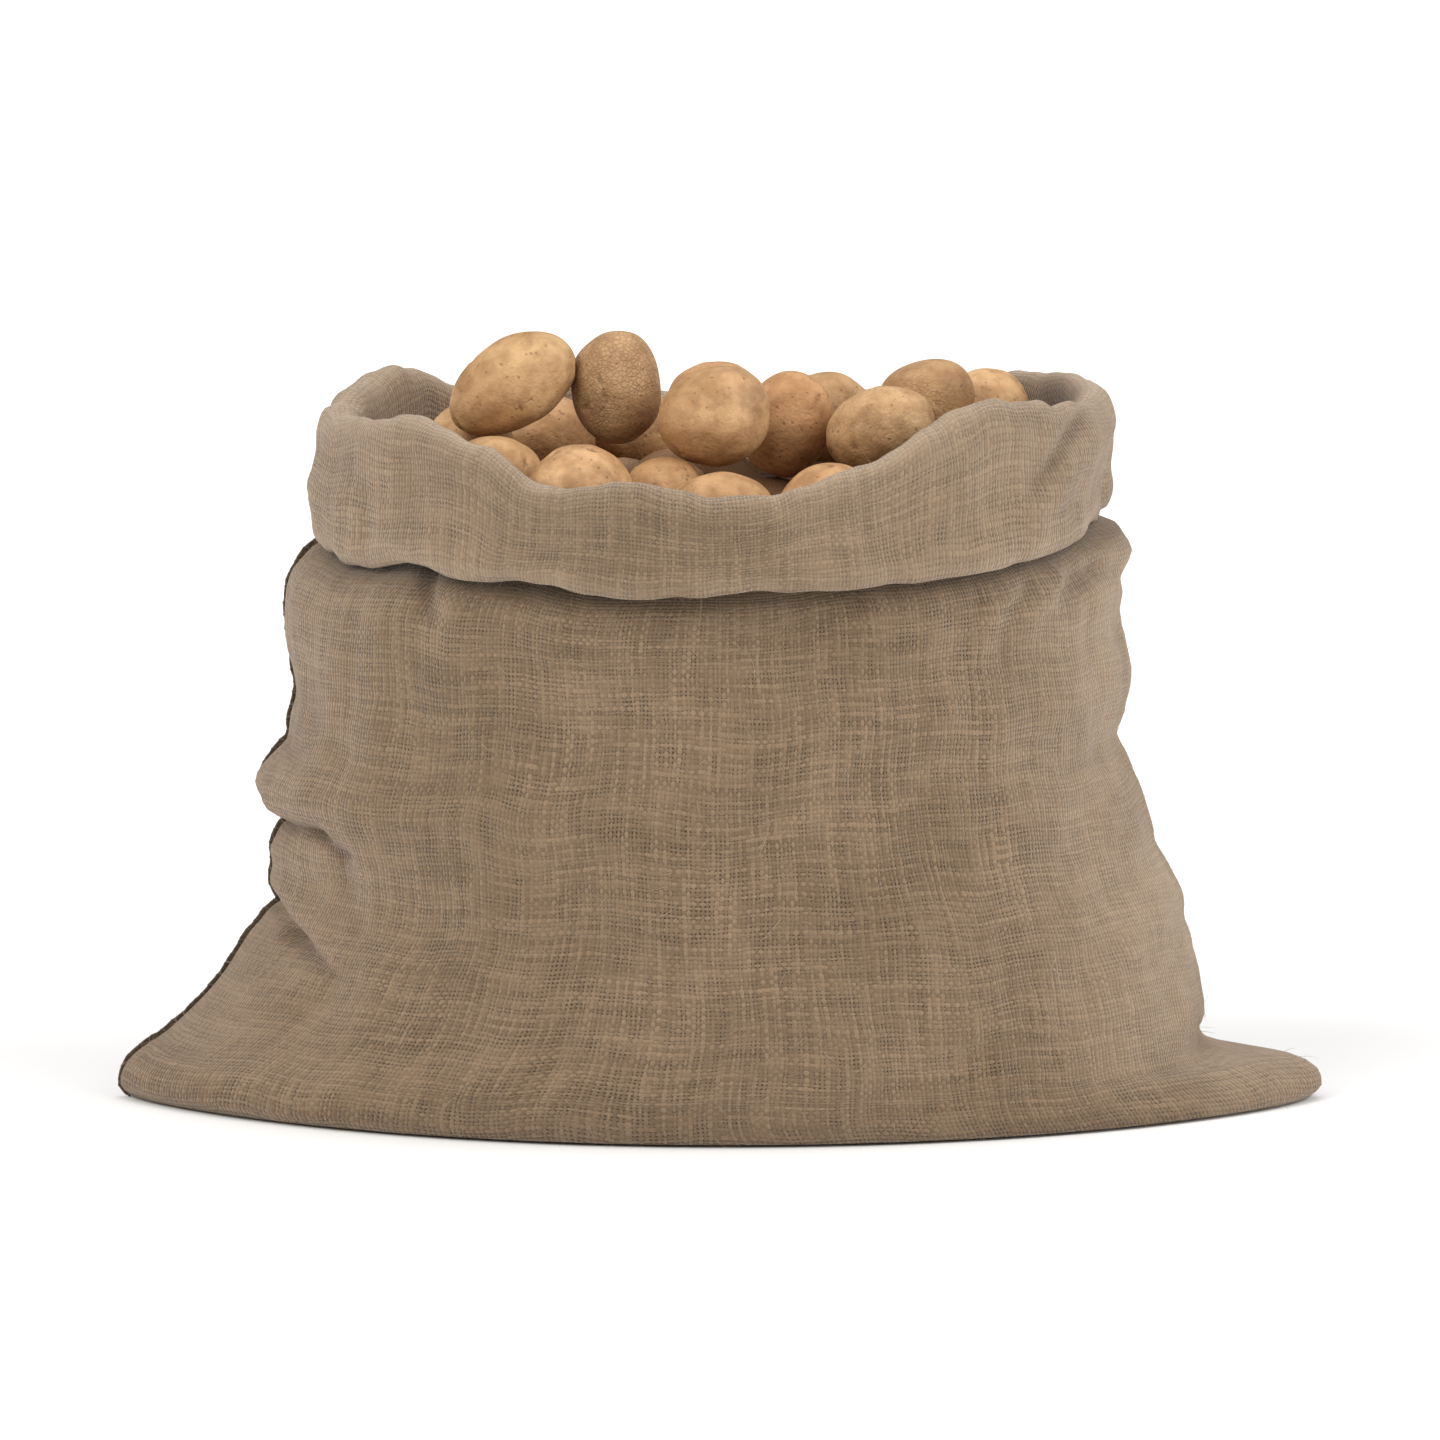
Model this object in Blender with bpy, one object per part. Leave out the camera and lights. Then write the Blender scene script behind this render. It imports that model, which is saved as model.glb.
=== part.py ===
"""Open hessian sack, filled to the brim with potatoes, its mouth turned down into a cuff.

Metres, +Z up. The sack stands on z = 0 and faces -Y. The origin is at the middle of its base.
Angles run round the sack: 0 at its right end (+X), 90 at the front, 180 at the left, 270 at the back.
"""

import math
import random
from collections import namedtuple

import bmesh
import bpy
from mathutils import Euler, Vector
from mathutils.bvhtree import BVHTree

# ---------------------------------------------------------------- driving dimensions

CLOTH = 0.002  # thickness of the hessian
GAP = 0.0003  # what resting pieces keep between them
COLUMNS = 56  # points round the sack
FLOOR_RINGS = (0.30, 0.62, 0.88)  # rings of the flat base, as shares of its outline

# Half sizes of the body at each height. A pinch over 1 draws that end into a point: the left ear.
Section = namedtuple("Section", "height left right front back left_pinch right_pinch")
BODY = (
    Section(0.0024, 0.2870, 0.2360, 0.1490, 0.1470, 1.58, 1.00),
    Section(0.0070, 0.2915, 0.2380, 0.1525, 0.1505, 1.58, 1.01),
    Section(0.0140, 0.2905, 0.2385, 0.1552, 0.1532, 1.60, 1.02),
    Section(0.0205, 0.2865, 0.2385, 0.1574, 0.1554, 1.62, 1.03),
    Section(0.0245, 0.2815, 0.2385, 0.1584, 0.1564, 1.64, 1.03),
    Section(0.0290, 0.2750, 0.2380, 0.1594, 0.1574, 1.65, 1.04),
    Section(0.0400, 0.2605, 0.2365, 0.1617, 0.1597, 1.65, 1.06),
    Section(0.0560, 0.2450, 0.2340, 0.1642, 0.1622, 1.58, 1.08),
    Section(0.0780, 0.2320, 0.2273, 0.1665, 0.1645, 1.42, 1.08),
    Section(0.1000, 0.2170, 0.2195, 0.1680, 0.1660, 1.30, 1.07),
    Section(0.1180, 0.2140, 0.2120, 0.1690, 0.1670, 1.24, 1.08),
    Section(0.1360, 0.2165, 0.2055, 0.1695, 0.1675, 1.20, 1.06),
    Section(0.1560, 0.2210, 0.2005, 0.1700, 0.1680, 1.14, 1.04),
    Section(0.1800, 0.2110, 0.1940, 0.1705, 0.1685, 1.10, 1.02),
    Section(0.2080, 0.2070, 0.1975, 0.1710, 0.1690, 1.05, 1.00),
    Section(0.2340, 0.2085, 0.1930, 0.1715, 0.1695, 1.00, 1.00),
)
NECK = Section(0.0, 0.1735, 0.1710, 0.1700, 0.1680, 1.00, 1.00)

# The right ear, a flat corner of cloth: how far it reaches past the body, and its half depth.
Ear = namedtuple("Ear", "height reach half_depth")
RIGHT_EAR = (
    Ear(0.0010, 0.0510, 0.090),
    Ear(0.0070, 0.0545, 0.072),
    Ear(0.0140, 0.0520, 0.058),
    Ear(0.0205, 0.0405, 0.048),
    Ear(0.0245, 0.0150, 0.042),
    Ear(0.0290, 0.0000, 0.036),
)
EAR_ROUND = 1.5  # its outline in plan: 2 is round, 1 is pointed

# The cuff round the mouth: its top, its lower edge and the radius of the fold along its top.
Cuff = namedtuple("Cuff", "angle rim edge fold")
CUFF = (
    Cuff(0, 0.347, 0.288, 0.0085),
    Cuff(22, 0.348, 0.283, 0.0080),
    Cuff(44, 0.3555, 0.279, 0.0070),
    Cuff(56, 0.345, 0.277, 0.0068),
    Cuff(66, 0.331, 0.276, 0.0065),
    Cuff(82, 0.318, 0.273, 0.0065),
    Cuff(92, 0.3165, 0.271, 0.0065),
    Cuff(103, 0.3225, 0.271, 0.0065),
    Cuff(113, 0.3195, 0.272, 0.0065),
    Cuff(121, 0.3235, 0.274, 0.0068),
    Cuff(129, 0.336, 0.276, 0.0070),
    Cuff(140, 0.346, 0.277, 0.0075),
    Cuff(158, 0.340, 0.273, 0.0085),
    Cuff(180, 0.338, 0.277, 0.0095),
    Cuff(199, 0.344, 0.283, 0.0115),
    Cuff(214, 0.347, 0.280, 0.0120),
    Cuff(227, 0.334, 0.275, 0.0100),
    Cuff(242, 0.327, 0.272, 0.0085),
    Cuff(270, 0.325, 0.272, 0.0070),
    Cuff(300, 0.331, 0.274, 0.0070),
    Cuff(322, 0.341, 0.278, 0.0075),
    Cuff(342, 0.348, 0.284, 0.0085),
)
CUFF_FLARE = 0.003  # how far the cuff's lower edge stands out past its top
CURL = 0.0035  # radius of the curled-in lower edge
CURL_TAIL = 0.005  # height of the cloth's end inside the curl

# Shoulder under the cuff: depth below the cuff's lower edge, and how far in towards the neck.
Shoulder = namedtuple("Shoulder", "below inward")
SHOULDERS = (
    Shoulder(0.021, 0.04),
    Shoulder(0.010, 0.25),
    Shoulder(0.003, 0.65),
    Shoulder(-0.006, 1.00),
)

# Soft ridges and troughs, seen from the front: a line from (x0, z0) to (x1, z1), how far the
# cloth stands out along it, and how wide it is.
Fold = namedtuple("Fold", "x0 z0 x1 z1 out width")
FOLDS = (
    Fold(-0.212, 0.139, -0.184, 0.121, -0.005, 0.011),  # crease under the left bulge
    Fold(-0.215, 0.162, -0.190, 0.152, 0.003, 0.014),  # the left bulge
    Fold(-0.220, 0.083, -0.194, 0.062, -0.006, 0.012),  # crease at the left ear's root
    Fold(-0.205, 0.300, -0.196, 0.305, 0.006, 0.012),  # second lobe of the cuff's left end
    Fold(0.181, 0.334, 0.152, 0.303, 0.005, 0.012),  # slanting ridge on the cuff's right end
    Fold(0.196, 0.273, 0.190, 0.272, 0.012, 0.011),  # knob under the cuff's right end
    Fold(0.196, 0.298, 0.186, 0.294, -0.006, 0.018),  # the cuff's right end tucks in over it
)

FOLD_FADE = 0.035  # the folds end this far behind the sack's sides

# The potatoes that show over the rim: centre, half lengths, tilt in the front view and heading.
Potato = namedtuple("Potato", "x y z long middle short tilt heading")
SHOWN_POTATOES = (
    Potato(-0.100, -0.062, 0.3652, 0.0335, 0.0225, 0.0225, 31, 10),
    Potato(-0.050, -0.050, 0.3562, 0.0280, 0.0225, 0.0220, 84, 0),
    Potato(-0.003, -0.086, 0.3452, 0.0270, 0.0250, 0.0240, 20, 25),
    Potato(-0.002, 0.004, 0.3392, 0.0270, 0.0240, 0.0230, 0, 60),
    Potato(0.032, -0.038, 0.3352, 0.0260, 0.0240, 0.0225, 70, 0),
    Potato(0.048, 0.012, 0.3322, 0.0270, 0.0240, 0.0230, 15, 20),
    Potato(0.077, -0.068, 0.3372, 0.0270, 0.0240, 0.0215, 12, -15),
    Potato(0.100, -0.020, 0.3472, 0.0240, 0.0215, 0.0200, 20, 0),
    Potato(0.128, 0.018, 0.3372, 0.0250, 0.0220, 0.0200, 10, 40),
    Potato(-0.108, -0.090, 0.3155, 0.0262, 0.0235, 0.0225, 5, 20),
    Potato(-0.067, -0.126, 0.3122, 0.0270, 0.0235, 0.0230, 4, 5),
    Potato(-0.028, -0.097, 0.3105, 0.0210, 0.0190, 0.0180, 30, 0),
    Potato(-0.001, -0.136, 0.3032, 0.0270, 0.0240, 0.0230, 0, 0),
    Potato(-0.122, -0.034, 0.3262, 0.0250, 0.0225, 0.0210, 0, 80),
)
# The rest of the top layer: rings of them, from the cloth inwards.
FILL_REACH_X = 0.158  # half sizes of the outermost ring
FILL_REACH_Y = 0.152
FILL_RINGS = (0.97, 0.90, 0.82, 0.74, 0.66, 0.58, 0.50, 0.42, 0.34, 0.26, 0.18, 0.10, 0.0)
FILL_STEPS = 90
FILL_ROOM = 0.0006  # room round each of them
FILL_SEED = 7
MOUND_TOP = 0.329  # height of their centres at the middle of the mouth
MOUND_DROP = 0.031  # how much lower they lie at the outermost ring
MOUND_UNEVEN = 0.004
POTATO_HALF = (0.0285, 0.0250, 0.0230)  # their usual half lengths
POTATO_SPREAD = 0.09  # share by which these vary
POTATO_TILT = 25  # degrees up or down, at most
POTATO_LUMPS = 5
LUMP_HEIGHT = 0.055  # share of the radius
POTATO_SEGMENTS = 12
POTATO_RINGS = 7
DROP_FROM = 0.060  # a potato is lowered from this far above its place, in steps of this size
DROP_STEP = 0.002

# The potatoes below the top layer, as one solid with a lump under each of those on it.
HEAP_CLEAR = 0.0014  # room between the heap and the cloth
HEAP_COLUMNS = 48
HEAP_FOOT_IN = 0.028  # how far its flat foot stays inside its widest section
HEAP_FOLD_ROOM = 1.6  # the heap stays back from the cloth's troughs by this many depths
HEAP_LEFT = 0.246  # the empty corners of the sack lie beyond these
HEAP_RIGHT = 0.230
HEAP_NECK = (0.262, 0.330)  # the neck's section holds between these heights
BLOCK_X = 0.200  # half sizes of the block whose top is lumpy
BLOCK_Y = 0.190
BLOCK_SPREAD = 2  # its base is this much wider, and lies under the floor
BLOCK_BASE = -0.05
HEAP_GRID = 0.0115
LUMP_RADIUS = 0.022
UPPER_STEP = 0.026  # a potato this much above one that lies within this reach rests on it
UPPER_REACH = 0.047
UNDER_PITCH = 0.046  # the lower layer's spacing, the radius of its tops and their depth
UNDER_RADIUS = 0.027
UNDER_DEPTH = 0.014
UNDER_CLEAR = 0.15  # room under a potato, as a share of its short half length

HESSIAN = ("hessian", (0.30, 0.215, 0.145, 1.0), 0.95)
POTATO_SKIN = ("potato_skin", (0.52, 0.31, 0.14, 1.0), 0.62)


# ---------------------------------------------------------------- helpers


def clear_scene():
    for item in list(bpy.data.objects):
        bpy.data.objects.remove(item, do_unlink=True)


def make_material(name, colour, roughness):
    material = bpy.data.materials.new(name)
    material.use_nodes = True
    shader = material.node_tree.nodes["Principled BSDF"]
    shader.inputs["Base Color"].default_value = colour
    shader.inputs["Roughness"].default_value = roughness
    shader.inputs["Metallic"].default_value = 0.0
    return material


def add_object(name, mesh, material):
    mesh.materials.append(material)
    mesh.shade_smooth()
    mesh.set_sharp_from_angle(angle=math.radians(60))
    item = bpy.data.objects.new(name, mesh)
    bpy.context.scene.collection.objects.link(item)
    return item


def mesh_from(name, points, faces):
    mesh = bpy.data.meshes.new(name)
    mesh.from_pydata([tuple(point) for point in points], [], faces)
    mesh.validate()
    shape = bmesh.new()
    shape.from_mesh(mesh)
    bmesh.ops.recalc_face_normals(shape, faces=shape.faces)
    shape.to_mesh(mesh)
    shape.free()
    return mesh


def bridge(lower, upper, count):
    """Quads between two rings of count points, whose first points are lower and upper."""
    quads = []
    for column in range(count):
        after = (column + 1) % count
        quads.append((lower + column, lower + after, upper + after, upper + column))
    return quads


# ---------------------------------------------------------------- the sack's shape


def cuff_at(angle):
    """Rim height, edge height and fold radius at this angle in degrees, on a smooth closed curve."""
    angle = angle % 360
    count = len(CUFF)
    index = max(k for k in range(count) if CUFF[k].angle <= angle)
    rows = [CUFF[(index + step) % count] for step in (-1, 0, 1, 2)]
    angles = [row.angle for row in rows]
    if angles[0] > angles[1]:
        angles[0] -= 360
    for k in (2, 3):
        if angles[k] < angles[k - 1]:
            angles[k] += 360
    span = angles[2] - angles[1]
    t = (angle - angles[1]) / span
    values = []
    for name in ("rim", "edge", "fold"):
        v = [getattr(row, name) for row in rows]
        slope_1 = (v[2] - v[0]) / (angles[2] - angles[0]) * span
        slope_2 = (v[3] - v[1]) / (angles[3] - angles[1]) * span
        values.append(
            (2 * t**3 - 3 * t**2 + 1) * v[1]
            + (t**3 - 2 * t**2 + t) * slope_1
            + (3 * t**2 - 2 * t**3) * v[2]
            + (t**3 - t**2) * slope_2
        )
    return Cuff(angle, *values)


def ring_point(section, angle, height):
    """Point of a section at this angle, and the way out of the sack there."""
    across = math.cos(math.radians(angle))
    forward = math.sin(math.radians(angle))
    half_x = section.right if across > 0 else section.left
    half_y = section.front if forward > 0 else section.back
    pinch = section.right_pinch if across > 0 else section.left_pinch
    depth = math.copysign(abs(forward) ** pinch, forward)
    point = Vector((half_x * across, -half_y * depth, height))
    out = Vector((across / half_x, -forward / half_y, 0.0)).normalized()
    return point, out


def with_ear(point):
    """The point of the body's ring, moved out to the right ear where it belongs to it."""
    for low, high in zip(RIGHT_EAR, RIGHT_EAR[1:]):
        if point.x > 0 and point.z < high.height:
            share = (point.z - low.height) / (high.height - low.height)
            reach = low.reach + (high.reach - low.reach) * share
            half_depth = low.half_depth + (high.half_depth - low.half_depth) * share
            aside = abs(point.y) / half_depth
            return point + Vector((reach * math.exp(-(aside**EAR_ROUND)), 0, 0))
    return point


def blend(first, second, share):
    mixed = [a + (b - a) * share for a, b in zip(first, second)]
    return Section(*mixed)


def fold_out(point):
    """How far the soft folds push the cloth out at this point. They fade out behind the sides."""
    fade = min(max(1 - point.y / FOLD_FADE, 0.0), 1.0)
    total = 0.0
    for fold in FOLDS:
        along = Vector((fold.x1 - fold.x0, fold.z1 - fold.z0))
        here = Vector((point.x - fold.x0, point.z - fold.z0))
        share = min(max(here.dot(along) / along.length_squared, 0.0), 1.0)
        distance = (here - along * share).length
        total += fold.out * math.exp(-((distance / fold.width) ** 2))
    return total * fade


def cloth_column(angle):
    """The middle of the cloth at this angle, from the base's rim up the body and down the cuff."""
    cuff = cuff_at(angle)
    points = []
    for ring in FLOOR_RINGS:
        point, _ = ring_point(BODY[0], angle, CLOTH / 2)
        point = with_ear(point)
        points.append(Vector((point.x * ring, point.y * ring, CLOTH / 2)))
    for section in BODY:
        point, out = ring_point(section, angle, section.height)
        point = with_ear(point)
        points.append(point + out * fold_out(point))
    for shoulder in SHOULDERS:
        section = blend(BODY[-1], NECK, shoulder.inward)
        point, out = ring_point(section, angle, cuff.edge - shoulder.below)
        points.append(point + out * fold_out(point) * (1 - shoulder.inward))

    neck, out = ring_point(NECK, angle, 0.0)
    wall_top = cuff.rim - cuff.fold
    points.append(neck + Vector((0, 0, (cuff.edge + wall_top) / 2)))
    for turn in (180, 135, 90, 45, 0):
        aside = cuff.fold * (1 + math.cos(math.radians(turn)))
        up = wall_top + cuff.fold * math.sin(math.radians(turn))
        points.append(neck + out * aside + Vector((0, 0, up)))
    wall_end = cuff.edge + CURL
    for share in (0.35, 0.7, 1.0):
        up = wall_top + (wall_end - wall_top) * share
        here = neck + out * (2 * cuff.fold + CUFF_FLARE * share) + Vector((0, 0, up))
        points.append(here + out * fold_out(here) * (1 - share / 2))
    outer = points[-1].copy()
    for turn in (60, 120, 180):
        aside = CURL * (1 - math.cos(math.radians(turn)))
        down = CURL * math.sin(math.radians(turn))
        points.append(outer - out * aside - Vector((0, 0, down)))
    points.append(points[-1] + Vector((0, 0, CURL_TAIL)))
    return points


def make_sack(material):
    columns = [cloth_column(360 * k / COLUMNS) for k in range(COLUMNS)]
    rows = len(columns[0])
    points = [Vector((0, 0, CLOTH / 2))]
    for row in range(rows):
        points += [column[row] for column in columns]
    faces = []
    for column in range(COLUMNS):
        faces.append((0, 1 + (column + 1) % COLUMNS, 1 + column))
    for row in range(rows - 1):
        faces += bridge(1 + row * COLUMNS, 1 + (row + 1) * COLUMNS, COLUMNS)
    mesh = mesh_from("sack", points, faces)
    sack = add_object("sack", mesh, material)
    thick = sack.modifiers.new("cloth thickness", "SOLIDIFY")
    thick.thickness = CLOTH
    thick.offset = 0.0
    thick.use_even_offset = False
    return sack


# ---------------------------------------------------------------- potatoes


def potato_mesh(name, potato, seed, extra=0.0):
    """A lumpy egg shape. extra swells it, to keep the gap to what it rests on."""
    draw = random.Random(seed)
    lumps = []
    for _ in range(POTATO_LUMPS):
        way = Vector([draw.gauss(0, 1) for _ in range(3)]).normalized()
        lumps.append((way, draw.uniform(-1, 1) * LUMP_HEIGHT))
    shape = bmesh.new()
    bmesh.ops.create_uvsphere(
        shape, u_segments=POTATO_SEGMENTS, v_segments=POTATO_RINGS, radius=1.0
    )
    for vert in shape.verts:
        way = vert.co.normalized()
        swell = 1.0 + sum(size * max(way.dot(axis), 0.0) ** 2 for axis, size in lumps)
        vert.co = Vector(
            (
                way.z * (potato.long * swell + extra),
                way.y * (potato.middle * swell + extra),
                -way.x * (potato.short * swell + extra),
            )
        )
    mesh = bpy.data.meshes.new(name)
    shape.to_mesh(mesh)
    shape.free()
    turn = Euler((0, -math.radians(potato.tilt), math.radians(potato.heading)), "XYZ")
    mesh.transform(turn.to_matrix().to_4x4())
    return mesh


def tree_at(potato, seed, extra):
    mesh = potato_mesh("probe", potato, seed, extra)
    tree = tree_of(mesh, Vector((potato.x, potato.y, potato.z)))
    bpy.data.meshes.remove(mesh)
    return tree


def rests_over(upper, lower):
    aside = math.hypot(upper.x - lower.x, upper.y - lower.y)
    return aside < UPPER_REACH and lower.z < upper.z - UPPER_STEP


def fill_potatoes(sack_tree):
    """The rest of the top layer: ring by ring from the cloth inwards, each where there is room."""
    draw = random.Random(FILL_SEED)
    taken = [sack_tree] + [tree_at(p, k, FILL_ROOM) for k, p in enumerate(SHOWN_POTATOES)]
    found = []
    for ring in FILL_RINGS:
        for step in range(FILL_STEPS):
            angle = 2 * math.pi * step / FILL_STEPS
            x = ring * FILL_REACH_X * math.cos(angle)
            y = ring * FILL_REACH_Y * math.sin(angle)
            z = mound(x, y) + draw.uniform(-1, 1) * MOUND_UNEVEN
            halves = [h * (1 + draw.uniform(-1, 1) * POTATO_SPREAD) for h in POTATO_HALF]
            potato = Potato(x, y, z, *halves, draw.uniform(-1, 1) * POTATO_TILT, draw.uniform(0, 180))
            if any(rests_over(shown, potato) for shown in SHOWN_POTATOES):
                continue
            tree = tree_at(potato, len(SHOWN_POTATOES) + len(found), FILL_ROOM)
            if not any(tree.overlap(other) for other in taken):
                found.append(potato)
                taken.append(tree)
    return found


def tree_of(mesh, offset):
    points = [vert.co + offset for vert in mesh.vertices]
    polygons = [tuple(polygon.vertices) for polygon in mesh.polygons]
    return BVHTree.FromPolygons(points, polygons)


def lower_onto(potato, mesh, obstacles):
    """The height at which the swollen potato first touches an obstacle on its way down."""

    def touches(height):
        tree = tree_of(mesh, Vector((potato.x, potato.y, height)))
        return any(tree.overlap(other) for other in obstacles)

    high = potato.z + DROP_FROM
    while not touches(high - DROP_STEP):
        high -= DROP_STEP
    low = high - DROP_STEP
    while high - low > GAP / 10:
        middle = (high + low) / 2
        if touches(middle):
            low = middle
        else:
            high = middle
    return high


def make_potatoes(potatoes, obstacles, material):
    order = sorted(range(len(potatoes)), key=lambda k: potatoes[k].z)
    for k in order:
        potato = potatoes[k]
        name = f"potato_{k + 1:02d}"
        swollen = potato_mesh("swollen", potato, k, GAP)
        height = lower_onto(potato, swollen, obstacles)
        bpy.data.meshes.remove(swollen)
        mesh = potato_mesh(name, potato, k)
        item = add_object(name, mesh, material)
        item.location = (potato.x, potato.y, height)
        obstacles.append(tree_of(mesh, item.location))


# ---------------------------------------------------------------- the heap under them


def mound(x, y):
    """Height of the top layer's centres over this place."""
    ring = math.hypot(x / FILL_REACH_X, y / FILL_REACH_Y)
    return MOUND_TOP - MOUND_DROP * ring**2


def under_layer(x, y):
    """Round tops of the potatoes below the top layer, in staggered rows."""
    row_step = UNDER_PITCH * math.sqrt(3) / 2
    nearest = UNDER_RADIUS
    for row in (math.floor(y / row_step), math.floor(y / row_step) + 1):
        shift = UNDER_PITCH / 2 if row % 2 else 0.0
        column = round((x - shift) / UNDER_PITCH)
        aside = math.hypot(x - shift - column * UNDER_PITCH, y - row * row_step)
        nearest = min(nearest, aside)
    fall = UNDER_RADIUS - math.sqrt(UNDER_RADIUS**2 - nearest**2)
    return mound(x, y) - UNDER_DEPTH - fall


def heap_height(x, y, carried, potatoes):
    """Top of the heap: the lower layer, clear of the potatoes, and a lump under each it carries."""
    height = under_layer(x, y)
    for potato in potatoes:
        reach = math.hypot(x - potato.x, y - potato.y) / potato.long
        if reach < 1:
            underside = potato.z - potato.short * (math.sqrt(1 - reach**2) + UNDER_CLEAR)
            height = min(height, underside)
    for potato in carried:
        reach = math.hypot(x - potato.x, y - potato.y)
        if reach < LUMP_RADIUS:
            fall = LUMP_RADIUS - math.sqrt(LUMP_RADIUS**2 - reach**2)
            height = max(height, potato.bottom - GAP - fall)
    return height


def heap_body():
    """The room inside the sack, without its empty corners."""
    floor = CLOTH + GAP
    inset = CLOTH / 2 + HEAP_CLEAR
    sections = []
    for section in BODY[2:]:
        sections.append(
            section._replace(
                left=min(section.left - inset, HEAP_LEFT),
                right=min(section.right - inset, HEAP_RIGHT),
                front=section.front - inset,
                back=section.back - inset,
            )
        )
    foot = sections[0]._replace(
        height=floor,
        left=sections[0].left - HEAP_FOOT_IN,
        right=sections[0].right - HEAP_FOOT_IN,
        front=sections[0].front - HEAP_FOOT_IN,
        back=sections[0].back - HEAP_FOOT_IN,
    )
    neck = NECK._replace(
        left=NECK.left - inset,
        right=NECK.right - inset,
        front=NECK.front - inset,
        back=NECK.back - inset,
    )
    sections = [foot] + sections
    sections += [neck._replace(height=height) for height in HEAP_NECK]
    points = []
    faces = [tuple(range(HEAP_COLUMNS))]
    for section in sections:
        for k in range(HEAP_COLUMNS):
            point, out = ring_point(section, 360 * k / HEAP_COLUMNS, section.height)
            points.append(point + out * min(fold_out(point), 0.0) * HEAP_FOLD_ROOM)
    for row in range(len(sections) - 1):
        faces += bridge(row * HEAP_COLUMNS, (row + 1) * HEAP_COLUMNS, HEAP_COLUMNS)
    top = (len(sections) - 1) * HEAP_COLUMNS
    faces.append(tuple(range(top, top + HEAP_COLUMNS)))
    return mesh_from("heap", points, faces)


def heap_block(carried, potatoes):
    """A block under the lumpy top, wider than the sack."""
    across = int(2 * BLOCK_X / HEAP_GRID)
    deep = int(2 * BLOCK_Y / HEAP_GRID)
    points = []
    for row in range(deep + 1):
        for column in range(across + 1):
            x = -BLOCK_X + 2 * BLOCK_X * column / across
            y = -BLOCK_Y + 2 * BLOCK_Y * row / deep
            points.append(Vector((x, y, heap_height(x, y, carried, potatoes))))
    faces = []
    width = across + 1
    for row in range(deep):
        for column in range(across):
            first = row * width + column
            faces.append((first, first + 1, first + width + 1))
            faces.append((first, first + width + 1, first + width))
    edge = list(range(width))
    edge += [row * width + across for row in range(1, deep + 1)]
    edge += [deep * width + k for k in range(across - 1, -1, -1)]
    edge += [row * width for row in range(deep - 1, 0, -1)]
    base = len(points)
    points += [Vector((points[k].x * BLOCK_SPREAD, points[k].y * BLOCK_SPREAD, BLOCK_BASE)) for k in edge]
    count = len(edge)
    for k in range(count):
        after = (k + 1) % count
        faces.append((edge[k], base + k, base + after, edge[after]))
    faces.append(tuple(base + k for k in range(count)))
    return mesh_from("heap_block", points, faces)


def make_heap(potatoes, material):
    heap = add_object("heap", heap_body(), material)
    shape = heap_block(seated(potatoes), potatoes)
    block = bpy.data.objects.new("heap_block", shape)
    bpy.context.scene.collection.objects.link(block)
    block.hide_render = True
    block.display_type = "WIRE"
    cut = heap.modifiers.new("lumpy top", "BOOLEAN")
    cut.operation = "INTERSECT"
    cut.solver = "EXACT"
    cut.object = block
    return heap


# ---------------------------------------------------------------- the whole


def solid_tree(item):
    """Search tree of an object's finished shape."""
    graph = bpy.context.evaluated_depsgraph_get()
    shape = item.evaluated_get(graph)
    mesh = shape.to_mesh()
    tree = tree_of(mesh, Vector((0, 0, 0)))
    shape.to_mesh_clear()
    return tree


SeatedPotato = namedtuple("SeatedPotato", Potato._fields + ("bottom",))


def seated(potatoes):
    """Those that lie on the heap and not on other potatoes, with the height of their lowest points."""
    result = []
    for k, potato in enumerate(potatoes):
        if any(rests_over(potato, other) for other in SHOWN_POTATOES):
            continue
        mesh = potato_mesh("probe", potato, k)
        lowest = min(vert.co.z for vert in mesh.vertices)
        bpy.data.meshes.remove(mesh)
        result.append(SeatedPotato(*potato, potato.z + lowest))
    return result


def main():
    clear_scene()
    hessian = make_material(*HESSIAN)
    skin = make_material(*POTATO_SKIN)
    sack = make_sack(hessian)
    sack_tree = solid_tree(sack)
    potatoes = list(SHOWN_POTATOES) + fill_potatoes(sack_tree)
    heap = make_heap(potatoes, skin)
    make_potatoes(potatoes, [sack_tree, solid_tree(heap)], skin)


main()
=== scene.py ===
"""Looks of the open hessian sack of potatoes, dressed over its CAD model.

Metres, +Z up. The sack stands on z = 0 and faces -Y. Angles run round it: 0 at its right end (+X),
90 at the front, 180 at the left, 270 at the back. The cloth is one grid of points: its rows run
from the base up the body, over the rim and down the cuff, and its columns start at the side seam.
"""

import math
import random
from collections import namedtuple

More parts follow.
